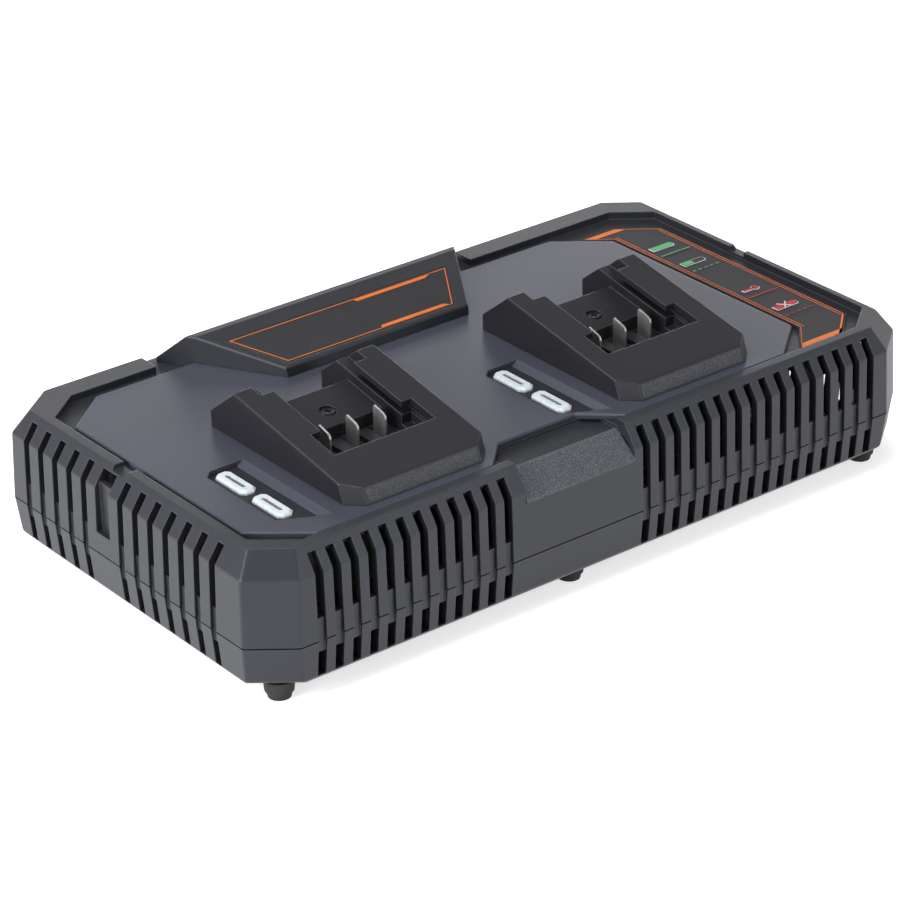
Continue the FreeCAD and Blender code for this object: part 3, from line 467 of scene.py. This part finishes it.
@dataclass(frozen=True)
class MilkyWindow:
    """Milky clear window moulding."""

    name: str
    tint: Colour
    roughness: float = 0.22
    sheen: Point2 = (0.05, 0.08)
    transmission: float = 0.35
    index: float = 1.49
    haze: float = 0.2
    cloud: float = 0.86
    cloud_scale: float = 500.0
    grain: float = 900.0
    grain_depth: float = mm(0.004)
    edge_radius: float = mm(0.3)

    def build(self) -> bpy.types.Material:
        """Make the material.

        Returns:
            The finished material.
        """
        graph = SurfaceGraph(self.name)
        graph.tune(Transmission_Weight=self.transmission, IOR=self.index, Subsurface_Weight=self.haze)
        cloud = graph.spread(graph.noise(self.cloud_scale, detail=2.0), 0.0, 1.0)
        graph.paint(graph.blend(cloud, scaled(self.tint, self.cloud), self.tint))
        fine = graph.noise(self.grain, detail=2.0)
        graph.sheen(fine, self.roughness, *self.sheen)
        graph.relief(fine, self.grain_depth, self.edge_radius)
        return graph.material


def ink(name: str, tint: Colour) -> PrintedFilm:
    """Matt printing ink of one colour."""
    return PrintedFilm(name, tint, roughness=0.5, coat=0.0, specular=0.16)


class Finish(Enum):
    """Finishes that a piece may be given."""

    CASE = MouldedPlastic("case_charcoal", (0.017, 0.018, 0.022), roughness=0.42, grain=2600.0,
                          grain_depth=mm(0.06), highlight_gain=3.0, seam=case_seam())
    DECK = MouldedPlastic("deck_grey", (0.050, 0.053, 0.072), roughness=0.30, grain=3200.0,
                          grain_depth=mm(0.0005), highlight_gain=1.9, mottle=0.05, specular=0.45,
                          unevenness=0.015)
    BAY = MouldedPlastic("bay_black", (0.015, 0.015, 0.018), roughness=0.36, grain=3000.0,
                         grain_depth=mm(0.012), highlight_gain=4.5, mottle=0.08)
    BLACK = MouldedPlastic("holder_black", (0.012, 0.012, 0.014), roughness=0.42, grain=2000.0,
                           highlight_gain=3.0)
    RUBBER = MouldedPlastic("foot_rubber", (0.016, 0.016, 0.017), roughness=0.65, grain=1600.0,
                            highlight_gain=1.2)
    FERRITE = MouldedPlastic("ferrite_grey", (0.030, 0.030, 0.032), roughness=0.65, grain=900.0,
                             mottle=0.2)
    CERAMIC = MouldedPlastic("fuse_ceramic", (0.12, 0.115, 0.105), highlight_gain=1.1)
    # Leads near-black, partly their own black and partly painted shade inside the case.
    LEAD = MouldedPlastic("lead_black_and_shade", (0.014, 0.014, 0.015), highlight_gain=1.2)
    PANEL = SpeckledPlastic("panel_grain", (0.032, 0.034, 0.041), (0.140, 0.146, 0.168),
                            grain=2600.0, grain_depth=mm(0.06))
    BAY_FRONT = SpeckledPlastic("bay_front_grain", (0.022, 0.023, 0.027), (0.125, 0.130, 0.148),
                                grain=2400.0, grain_depth=mm(0.06))
    CONTACT = PlatedMetal("contact_nickel", (0.86, 0.85, 0.83), roughness=0.42)
    SCREW = PlatedMetal("screw_zinc", (0.42, 0.42, 0.43), roughness=0.34)
    DARK_SCREW = PlatedMetal("screw_black", (0.055, 0.055, 0.060), roughness=0.40)
    ALUMINIUM = PlatedMetal("sink_aluminium", (0.10, 0.10, 0.105), roughness=0.42)
    FILM = PrintedFilm("film_dark", (0.032, 0.032, 0.036), roughness=0.60, coat=0.0, specular=0.16)
    ORANGE = ink("ink_orange", (0.66, 0.165, 0.035))
    GREEN = ink("ink_green", (0.085, 0.36, 0.15))
    RED = ink("ink_red", (0.42, 0.030, 0.030))
    WHITE = ink("ink_white", (0.72, 0.72, 0.72))
    LAMP = PrintedFilm("lamp_yellow", (0.85, 0.78, 0.35), roughness=0.3, coat=0.3)
    # Green board darkened to near black as painted shade, so the inside of the case looks black through the
    # slots.
    BOARD = PrintedFilm("board_green_darkened_as_shade", (0.004, 0.016, 0.008), roughness=0.5, coat=0.1)
    TAPE = PrintedFilm("coil_tape", (0.10, 0.07, 0.012), roughness=0.4, coat=0.1)
    SLEEVE = PrintedFilm("capacitor_sleeve", (0.010, 0.012, 0.03), roughness=0.4, coat=0.1)
    # Grey sheet that paints the shade in the windows' long channel.
    CHANNEL = PrintedFilm("window_channel_shade", (0.12, 0.12, 0.135), roughness=0.35, coat=0.2)
    WINDOW = MilkyWindow("window_milky", (0.80, 0.80, 0.84), transmission=0.08)

    def material(self) -> bpy.types.Material:
        """Material of this finish, made at its first use."""
        return bpy.data.materials.get(self.value.name) or self.value.build()


def dress(node: str, finish: Finish) -> None:
    """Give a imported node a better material.

    Args:
        node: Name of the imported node.
        finish: Finish to give it.
    """
    piece = bpy.data.objects[node]
    for slot in piece.material_slots:
        slot.material = finish.material()
    LOG.info("%s: %s", node, finish.name.lower())


@dataclass(frozen=True)
class Sheet:
    """Plane patch that prints are laid on.

    The plane passes through the origin point, with unit directions along and up.
    """

    origin: Vector
    along: Vector
    up: Vector

    @property
    def normal(self) -> Vector:
        """Outward direction of the patch."""
        return self.along.cross(self.up).normalized()

    def at(self, point: Point2, lift: float) -> Vector:
        """Place in space of a plane point in metres.

        Args:
            point: Plane coordinates.
            lift: Height over the plane.

        Returns:
            The place in the frame.
        """
        return self.origin + self.along * point[0] + self.up * point[1] + self.normal * lift


def level_sheet(height: float) -> Sheet:
    """Level plane over the ground, with the frame's own X and Y."""
    return Sheet(Vector((0.0, 0.0, height)), Vector((1.0, 0.0, 0.0)), Vector((0.0, 1.0, 0.0)))


def tile(name: str, sheet: Sheet, outlines: list[Outline], lift: float, finish: Finish,
         thickness: float = mm(0.12)) -> bpy.types.Object:
    """Thin closed plates on a sheet.

    Args:
        name: Name of the piece.
        sheet: Plane they lie on.
        outlines: Convex outlines in metres, counter-clockwise seen from outside.
        lift: Height of their underside over the plane.
        finish: Finish of the plates.
        thickness: Plate thickness.

    Returns:
        The new piece.
    """
    verts: list[Vector] = []
    faces: list[list[int]] = []
    for outline in outlines:
        base = len(verts)
        count = len(outline)
        verts += [sheet.at(p, lift) for p in outline]
        verts += [sheet.at(p, lift + thickness) for p in outline]
        faces.append([base + count + i for i in range(count)])
        faces.append([base + i for i in reversed(range(count))])
        for i in range(count):
            j = (i + 1) % count
            faces.append([base + i, base + j, base + count + j, base + count + i])
    mesh = bpy.data.meshes.new(name)
    mesh.from_pydata([tuple(v) for v in verts], [], faces)
    mesh.update()
    piece = bpy.data.objects.new(name, mesh)
    bpy.context.scene.collection.objects.link(piece)
    piece.data.materials.append(finish.material())
    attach(piece, BODY)
    LOG.info("%s: %d plates", name, len(outlines))
    return piece


def inset(points: Outline, distance: float) -> Outline:
    """Move each edge of a counter-clockwise outline inwards.

    Args:
        points: Outline corners.
        distance: How far to move the edges.

    Returns:
        The corners of the smaller outline.
    """
    result: Outline = []
    count = len(points)
    for i, point in enumerate(points):
        here = Vector(point)
        d0 = (here - Vector(points[i - 1])).normalized()
        d1 = (Vector(points[(i + 1) % count]) - here).normalized()
        n0 = Vector((-d0.y, d0.x))
        n1 = Vector((-d1.y, d1.x))
        bisector = (n0 + n1).normalized()
        moved = here + bisector * (distance / bisector.dot(n0))
        result.append((moved.x, moved.y))
    return result


def band(outer: Outline, inner: Outline, edges: list[int]) -> list[Outline]:
    """Quads between two matching outlines.

    Args:
        outer: Outer outline.
        inner: Inner outline with as many corners.
        edges: Indices of the edges to fill.

    Returns:
        One quad for each edge.
    """
    count = len(outer)
    return [[outer[i], outer[(i + 1) % count], inner[(i + 1) % count], inner[i]] for i in edges]


def between(a: Point2, b: Point2, t: float) -> Point2:
    """Point on the way from a to b."""
    return (a[0] + (b[0] - a[0]) * t, a[1] + (b[1] - a[1]) * t)


def meet(p: Point2, q: Point2, r: Point2, s: Point2) -> Point2:
    """Point where two lines meet.

    Args:
        p: Point on the first line.
        q: Another point on the first line.
        r: Point on the second line.
        s: Another point on the second line.

    Returns:
        The point on both lines.
    """
    d, e = Vector(q) - Vector(p), Vector(s) - Vector(r)
    gap = Vector(r) - Vector(p)
    t = (gap.x * e.y - gap.y * e.x) / (d.x * e.y - d.y * e.x)
    return (p[0] + d.x * t, p[1] + d.y * t)


def bar_along(outline: Outline, edge: int, width: float) -> Outline:
    """Heavy bar on the inner side of one edge, ended by its neighbours.

    Args:
        outline: Counter-clockwise outline.
        edge: Index of the edge.
        width: Width of the bar.

    Returns:
        The bar's outline.
    """
    count = len(outline)
    a, b = outline[edge], outline[(edge + 1) % count]
    d = (Vector(b) - Vector(a)).normalized()
    shift = Vector((-d.y, d.x)) * width
    c, e = (a[0] + shift.x, a[1] + shift.y), (b[0] + shift.x, b[1] + shift.y)
    return [a, b, meet(c, e, b, outline[(edge + 2) % count]), meet(c, e, outline[edge - 1], a)]


def level_bar(x0: float, x1: float, y: float, half: float) -> Outline:
    """Bar along X between two places, with half its height."""
    return [(x0, y - half), (x1, y - half), (x1, y + half), (x0, y + half)]


def disc(x: float, y: float, radius: float) -> Outline:
    """Round outline about a centre."""
    turns = [math.tau * i / DISC_SIDES for i in range(DISC_SIDES)]
    return [(x + radius * math.cos(turn), y + radius * math.sin(turn)) for turn in turns]


def cut_rectangle(x: float, y: float, half: Point2, cut: float) -> Outline:
    """Rectangle with cut corners.

    Args:
        x: Place of the centre.
        y: Place of the centre.
        half: Half of the width and of the length.
        cut: How much each corner loses on both sides.

    Returns:
        The outline, counter-clockwise.
    """
    w, h = half
    return [(x - w + cut, y - h), (x + w - cut, y - h), (x + w, y - h + cut), (x + w, y + h - cut),
            (x + w - cut, y + h), (x - w + cut, y + h), (x - w, y + h - cut), (x - w, y - h + cut)]


@dataclass
class CaseShells:
    """The two case halves, their feet and screws."""

    shells: tuple[str, ...] = ("upper_shell", "lower_shell", "badge_block")

    def build(self) -> None:
        """Dress the shells and what is fixed to them."""
        for node in self.shells:
            dress(node, Finish.CASE)
        dress("name_panel", Finish.PANEL)
        dress("feet", Finish.RUBBER)
        for node in ("case_screws", "board_screws"):
            dress(node, Finish.SCREW)
        dress("bay_screws", Finish.DARK_SCREW)


@dataclass
class Deck:
    """Smooth deck plate."""

    node: str = "deck_plate"

    def build(self) -> None:
        """Dress the deck plate."""
        dress(self.node, Finish.DECK)


@dataclass
class BatteryBay:
    """One sliding bay with its contact holder, blades and front grain patch."""

    side: str
    corner: float = mm(6.6)
    margin: float = mm(0.9)
    rise: float = mm(6.3)
    run: float = mm(2.7)
    border: float = mm(0.8)
    flare: float = mm(0.2)
    sink: float = mm(0.03)
    thickness: float = mm(0.1)

    def build(self) -> None:
        """Dress the bay and lay the grained patch on its front slope."""
        dress(f"bay_{self.side}", Finish.BAY)
        dress(f"terminal_block_{self.side}", Finish.BLACK)
        dress(f"terminal_blades_{self.side}", Finish.CONTACT)
        self.front_patch()

    def front_patch(self) -> None:
        """Lay the grained patch on the front slope of the bay."""
        low, high = box_of(f"bay_{self.side}")
        half = (high.x - low.x) / 2.0 - self.corner - self.margin
        foot = Vector(((low.x + high.x) / 2.0, low.y + self.sink, low.z))
        up = Vector((0.0, self.run, self.rise)).normalized()
        sheet = Sheet(foot, Vector((1.0, 0.0, 0.0)), up)
        top = math.hypot(self.run, self.rise) - self.border
        wide = half + self.flare
        outline = [(-half, self.border), (half, self.border), (wide, top), (-wide, top)]
        tile(f"bay_front_grain_{self.side}", sheet, [outline], 0.0, Finish.BAY_FRONT,
             self.thickness)


@dataclass
class StatusWindows:
    """Milky windows, lamps and lamp boards beside both bays."""

    sides: tuple[str, ...] = ("left", "right")
    length: float = mm(19.0)
    sink: float = mm(0.5)
    channel_half: Point2 = (mm(0.9), mm(6.0))
    channel_cut: float = mm(0.6)
    lift: float = mm(0.01)
    thickness: float = mm(0.06)

    def channels(self, side: str) -> None:
        """Grey sheet painted as the shade in the long channel of both windows of one side.

        Args:
            side: Side of the bay.
        """
        low, high = box_of(f"status_windows_{side}")
        centre = (low.x + high.x) / 2.0
        outlines = [cut_rectangle(centre, y, self.channel_half, self.channel_cut)
                    for y in (low.y + self.length / 2.0, high.y - self.length / 2.0)]
        tile(f"window_channels_{side}", level_sheet(high.z - self.sink), outlines, self.lift,
             Finish.CHANNEL, self.thickness)

    def build(self) -> None:
        """Dress the windows and what lies under them."""
        for side in self.sides:
            self.channels(side)
            dress(f"status_windows_{side}", Finish.WINDOW)
            dress(f"lamp_board_{side}", Finish.BOARD)
        dress("lamps", Finish.LAMP)


class LabelEdge(IntEnum):
    """Edges of the badge label, counter-clockwise from the front."""

    FRONT = 0
    RIGHT = 1
    BACK = 2
    LEFT = 3


@dataclass
class BadgeLabel:
    """Bare badge label with an orange outline and two heavy bars."""

    film: float = mm(0.5)
    taper: float = mm(14.0)
    edge: float = mm(1.0)
    thin: float = mm(0.36)
    thick: float = mm(1.9)
    front_bar: Point2 = (0.56, 0.99)
    back_bar: Point2 = (0.07, 0.44)
    slant: float = mm(1.6)
    lift: float = mm(0.01)

    def build(self) -> None:
        """Dress the label and print its outline."""
        dress("badge_label", Finish.FILM)
        low, high = box_of("badge_label")
        front = Vector(((low.x + high.x) / 2.0, low.y, low.z + self.film))
        slope = Vector((0.0, high.y - low.y, high.z - low.z - self.film))
        sheet = Sheet(front, Vector((1.0, 0.0, 0.0)), slope.normalized())
        wide = (high.x - low.x) / 2.0
        narrow = wide - self.taper
        rim = [(-narrow, 0.0), (narrow, 0.0), (wide, slope.length), (-wide, slope.length)]
        outer = inset(rim, self.edge)
        plates = band(outer, inset(rim, self.edge + self.thin), list(LabelEdge))
        heavy = inset(rim, self.edge + self.thick)
        for edge, (start, end) in ((LabelEdge.FRONT, self.front_bar), (LabelEdge.BACK, self.back_bar)):
            a, b = outer[edge], outer[edge + 1]
            c, d = heavy[edge], heavy[edge + 1]
            shift = self.slant / (Vector(b) - Vector(a)).length
            plates.append([between(a, b, start), between(a, b, end), between(c, d, end - shift),
                           between(c, d, start + shift)])
        tile("badge_outline", sheet, plates, self.lift, Finish.ORANGE)


class StripEdge(IntEnum):
    """Edges of the status strip, counter-clockwise from the front."""

    FRONT = 0
    FRONT_CUT = 1
    RIGHT = 2
    BACK_CUT = 3
    BACK = 4
    BACK_SLOPE = 5
    INNER = 6
    FRONT_SLOPE = 7


@dataclass
class StatusStrip:
    """Status strip with outline, end bars and four generic battery signs.

    The signs' places are counted from the right and back edges of the strip.
    """

    lift: float = mm(0.01)
    layer: float = mm(0.13)
    front_cut: Point2 = (mm(13.6), mm(12.5))
    back_cut: Point2 = (mm(15.6), mm(12.4))
    back_toe: float = mm(1.2)
    inner_side: float = mm(13.8)
    inner_back: float = mm(9.0)
    inner_front: float = mm(15.5)
    edge: float = mm(0.7)
    thin: float = mm(0.24)
    gap: float = mm(1.1)
    bar: float = mm(3.1)
    end_bar: float = mm(1.0)
    sign_inset: float = mm(13.2)
    sign_rows: tuple[float, float, float, float] = (mm(27.4), mm(46.9), mm(80.9), mm(102.4))
    sign_rim: float = mm(0.32)
    cell_half: float = mm(5.2)
    cell_height: float = mm(3.1)
    pole: float = mm(1.0)
    pole_share: float = 0.45
    rule_inset: float = mm(11.9)
    rule_drop: float = mm(7.6)
    rule_half: float = mm(7.8)
    rule_width: float = mm(0.55)
    dashes: int = 5
    dash_fill: float = 0.55
    bulb: float = mm(1.5)
    bulb_shift: float = mm(2.4)
    bulb_drop: float = mm(1.2)
    stem: Point2 = (mm(3.8), mm(2.0))
    stem_half: float = mm(0.55)
    bulb_rim: float = mm(0.4)
    cross_reach: float = mm(2.6)
    cross_arm: float = mm(0.6)

    def outline(self, low: Vector, high: Vector) -> Outline:
        """Strip outline, counter-clockwise from the front left corner.

        Args:
            low: Lowest corner of the strip's box.
            high: Highest corner of the strip's box.

        Returns:
            The outline.
        """
        front_x, front_y = self.front_cut
        back_x, back_y = self.back_cut
        inner = low.x + self.inner_side
        return [(low.x, low.y), (high.x - front_x, low.y), (high.x, low.y + front_y),
                (high.x, high.y - back_y), (high.x - back_x, high.y), (low.x + self.back_toe, high.y),
                (inner, high.y - self.inner_back), (inner, low.y + self.inner_front)]

    def build(self) -> None:
        """Dress the strip and print it."""
        dress("status_label", Finish.FILM)
        low, high = box_of("status_label")
        sheet = level_sheet(high.z)
        rim = self.outline(low, high)
        outer = inset(rim, self.edge)
        plates = band(outer, inset(rim, self.edge + self.thin), list(StripEdge))
        second = inset(rim, self.edge + self.thin + self.gap)
        third = inset(rim, self.edge + self.thin * 2 + self.gap)
        plates += band(second, third, [StripEdge.RIGHT, StripEdge.INNER])
        plates += [bar_along(outer, StripEdge.FRONT, self.bar), bar_along(outer, StripEdge.BACK, self.bar),
                   bar_along(outer, StripEdge.FRONT_CUT, self.end_bar)]
        tile("strip_outline", sheet, plates, self.lift, Finish.ORANGE)
        self.signs(sheet, high)

    def cell(self, x: float, y: float, grow: float) -> Outline:
        """Battery sign outline, with its pole to the right.

        Args:
            x: Place of the sign's centre.
            y: Place of the sign's centre.
            grow: How much larger than the sign on every side.

        Returns:
            The outline.
        """
        w = self.cell_half + grow
        h = self.cell_height / 2.0 + grow
        tip = w + self.pole
        narrow = h * self.pole_share
        return [(x - w, y - h), (x + w, y - h), (x + tip, y - narrow), (x + tip, y + narrow),
                (x + w, y + h), (x - w, y + h)]

    def rule(self, x: float, row: float, dashes: int) -> list[Outline]:
        """Line under a sign, whole or dashed.

        Args:
            x: Middle of the line.
            row: Height of the sign's row.
            dashes: Number of dashes, one for a whole line.

        Returns:
            The line's plates.
        """
        step = 2.0 * self.rule_half / dashes
        fill = 1.0 if dashes == 1 else self.dash_fill
        start = x - self.rule_half
        return [level_bar(start + i * step, start + (i + fill) * step, row - self.rule_drop,
                          self.rule_width / 2.0) for i in range(dashes)]

    def probe(self, x: float, row: float, grow: float) -> list[Outline]:
        """Thermometer sign lying on its side, its bulb to the right.

        Args:
            x: Middle of the row.
            row: Height of the row.
            grow: How much larger than the sign.

        Returns:
            The bulb and the stem.
        """
        y = row - self.bulb_drop
        left, right = self.stem
        return [disc(x + self.bulb_shift, y, self.bulb + grow),
                level_bar(x - left - grow, x + right, y, self.stem_half + grow)]

    def cross(self, x: float, row: float) -> list[Outline]:
        """Two slanting strokes over a sign.

        Args:
            x: Middle of the sign.
            row: Height of its row.

        Returns:
            Both strokes.
        """
        left, right = x - self.cross_reach, x + self.cross_reach
        low, high = row - self.cross_reach, row + self.cross_reach
        arm = self.cross_arm
        return [[(left, low), (left + arm, low), (right, high), (right - arm, high)],
                [(right - arm, low), (right, low), (left + arm, high), (left, high)]]

    def signs(self, sheet: Sheet, corner: Vector) -> None:
        """Print the four status signs.

        Args:
            sheet: Plane of the strip.
            corner: Highest corner of the strip's box.
        """
        full, half, warm, fault = (corner.y - drop for drop in self.sign_rows)
        x = corner.x - self.sign_inset
        rule_x = corner.x - self.rule_inset
        white = [self.cell(x, row, self.sign_rim) for row in (full, half, fault)]
        white += self.probe(x, warm, self.bulb_rim)
        green = [self.cell(x, full, 0.0), level_bar(x - self.cell_half, x, half, self.cell_height / 2.0)]
        green += self.rule(rule_x, full, 1) + self.rule(rule_x, half, self.dashes)
        red = [self.cell(x, fault, 0.0)] + self.probe(x, warm, 0.0)
        red += self.rule(rule_x, warm, 1) + self.rule(rule_x, fault, self.dashes)
        layers = [("sign_rims", white, 0, Finish.WHITE),
                  ("sign_blanks", [self.cell(x, half, 0.0)], 1, Finish.FILM),
                  ("sign_green", green, 2, Finish.GREEN),
                  ("sign_red", red, 2, Finish.RED),
                  ("sign_cross", self.cross(x, fault), 3, Finish.WHITE)]
        for name, plates, level, finish in layers:
            tile(name, sheet, plates, self.lift + self.layer * level, finish)


@dataclass
class Electronics:
    """Board, large components, leads and mains inlet."""

    finishes: dict[str, Finish] = field(default_factory=lambda: {
        "main_board": Finish.BOARD, "transformer_core": Finish.FERRITE, "transformer_coil": Finish.TAPE,
        "capacitors": Finish.SLEEVE, "line_choke": Finish.FERRITE, "heat_sink": Finish.ALUMINIUM,
        "transistors": Finish.BLACK, "line_fuse": Finish.CERAMIC, "mains_inlet": Finish.BLACK,
        "inlet_pins": Finish.CONTACT, "mains_leads": Finish.LEAD, "harness_left": Finish.LEAD,
        "harness_right": Finish.LEAD, "fan_frame": Finish.BLACK, "fan_rotor": Finish.BLACK})

    def build(self) -> None:
        """Dress every inner piece."""
        for node, finish in self.finishes.items():
            dress(node, finish)


@dataclass(frozen=True)
class SoftLamp:
    """Soft rectangular lamp that points at a place near the object."""

    name: str
    place: Point3
    aim: Point3
    size: Point2
    power: float

    def build(self) -> None:
        """Hang the lamp."""
        data = bpy.data.lights.new(self.name, "AREA")
        data.shape = "RECTANGLE"
        data.size, data.size_y = self.size
        data.energy = self.power
        lamp = bpy.data.objects.new(self.name, data)
        lamp.location = self.place
        lamp.rotation_euler = (Vector(self.aim) - Vector(self.place)).to_track_quat("-Z", "Y").to_euler()
        bpy.context.scene.collection.objects.link(lamp)


@dataclass
class Studio:
    """Camera, lamps, floor and world."""

    azimuth: float = -37.722
    elevation: float = 27.259
    roll: float = -1.134
    place: Point3 = (mm(-758.5), mm(-972.5), mm(656.5))
    focal_pixels: float = 3529.96
    sensor: float = 36.0
    clip_end: float = 20.0
    floor_half: float = 3.0
    floor_tints: Point2 = (0.86, 0.88)
    floor_cloud: float = 1.5
    floor_roughness: float = 0.9
    floor_glow: float = 0.62
    horizon: Point2 = (0.30, 0.62)
    overhead: float = 0.10
    ambient: float = 0.10
    lamps: tuple[SoftLamp, ...] = (
        SoftLamp("top_soft", (-0.25, 0.15, 1.30), (0.0, 0.0, 0.05), (1.2, 1.0), 15.0),
        SoftLamp("left_soft", (-1.40, -0.10, 0.60), (-0.1, 0.0, 0.03), (0.8, 0.8), 21.0),
        SoftLamp("front_soft", (0.35, -1.40, 0.80), (0.0, 0.0, 0.03), (1.0, 0.6), 7.0),
        SoftLamp("back_soft", (0.80, 1.20, 0.27), (0.0, 0.0, 0.05), (1.6, 0.36), 5.0))

    def build(self) -> None:
        """Set up the whole studio."""
        self.camera()
        for lamp in self.lamps:
            lamp.build()
        self.floor()
        self.world()
        bpy.context.scene.view_settings.view_transform = "Standard"

    def camera(self) -> None:
        """Camera at the photograph's angle."""
        az = math.radians(self.azimuth)
        el = math.radians(self.elevation)
        roll = math.radians(self.roll)
        back = Vector((math.sin(az) * math.cos(el), -math.cos(az) * math.cos(el), math.sin(el)))
        right = (-back).cross(Vector((0.0, 0.0, 1.0))).normalized()
        up = right.cross(-back)
        turned = right * math.cos(roll) + up * math.sin(roll)
        raised = up * math.cos(roll) - right * math.sin(roll)
        data = bpy.data.cameras.new("studio_camera")
        data.sensor_width = self.sensor
        data.lens = self.focal_pixels * self.sensor / PHOTO_PIXELS
        data.clip_end = self.clip_end
        camera = bpy.data.objects.new("studio_camera", data)
        axes = Matrix((turned, raised, back)).transposed().to_4x4()
        camera.matrix_world = Matrix.Translation(Vector(self.place)) @ axes
        bpy.context.scene.collection.objects.link(camera)
        bpy.context.scene.camera = camera

    def floor(self) -> None:
        """Pale floor that keeps a faint shadow."""
        graph = SurfaceGraph("studio_floor")
        graph.tune(Roughness=self.floor_roughness, Specular_IOR_Level=0.0)
        cloud = graph.spread(graph.noise(self.floor_cloud), 0.0, 1.0)
        dark, pale = self.floor_tints
        graph.paint(graph.blend(cloud, (dark, dark, dark), (pale, pale, pale)))
        path = graph.add("ShaderNodeLightPath")
        direct = graph.math("MAXIMUM", path.outputs["Is Camera Ray"], path.outputs["Is Transmission Ray"])
        seen = graph.math("MAXIMUM", direct, path.outputs["Is Glossy Ray"])
        glow = graph.add("ShaderNodeEmission")
        glow.inputs["Color"].default_value = (1.0, 1.0, 1.0, 1.0)
        graph.link(graph.math("MULTIPLY", seen, self.floor_glow), glow.inputs["Strength"])
        lit = graph.add("ShaderNodeAddShader")
        graph.link(graph.shader.outputs["BSDF"], lit.inputs[0])
        graph.link(glow.outputs["Emission"], lit.inputs[1])
        graph.link(lit.outputs["Shader"], graph.output.inputs["Surface"])
        mesh = bpy.data.meshes.new("studio_floor")
        h = self.floor_half
        mesh.from_pydata([(-h, -h, 0.0), (h, -h, 0.0), (h, h, 0.0), (-h, h, 0.0)], [], [[0, 1, 2, 3]])
        floor = bpy.data.objects.new("studio_floor", mesh)
        floor.data.materials.append(graph.material)
        bpy.context.scene.collection.objects.link(floor)

    def world(self) -> None:
        """White surround for the eye, and a backdrop that darkens overhead for reflections."""
        world = bpy.data.worlds.new("studio_world")
        bpy.context.scene.world = world
        world.use_nodes = True
        graph = Graph(world.node_tree)
        background = world.node_tree.nodes["Background"]
        background.inputs["Color"].default_value = (1.0, 1.0, 1.0, 1.0)
        path = graph.add("ShaderNodeLightPath")
        split = graph.add("ShaderNodeSeparateXYZ")
        graph.link(graph.add("ShaderNodeTexCoord").outputs["Generated"], split.inputs["Vector"])
        fade = graph.spread(split.outputs["Z"], 1.0, self.overhead, *self.horizon)
        direct = graph.math("MAXIMUM", path.outputs["Is Camera Ray"], path.outputs["Is Transmission Ray"])
        mirrored = graph.math("MULTIPLY", path.outputs["Is Glossy Ray"], fade)
        shown = graph.math("MAXIMUM", direct, mirrored)
        graph.link(graph.math("MAXIMUM", shown, self.ambient), background.inputs["Strength"])


def main() -> None:
    """Build the studio and dress the object, sub-assembly by sub-assembly."""
    logging.basicConfig(level=logging.INFO, format="%(message)s")
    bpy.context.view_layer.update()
    parts = [Studio(), CaseShells(), Deck(), BatteryBay("left"), BatteryBay("right"), StatusWindows(),
             BadgeLabel(), StatusStrip(), Electronics()]
    for part in parts:
        LOG.info("building %s", type(part).__name__)
        part.build()


if __name__ == "__main__":
    main()
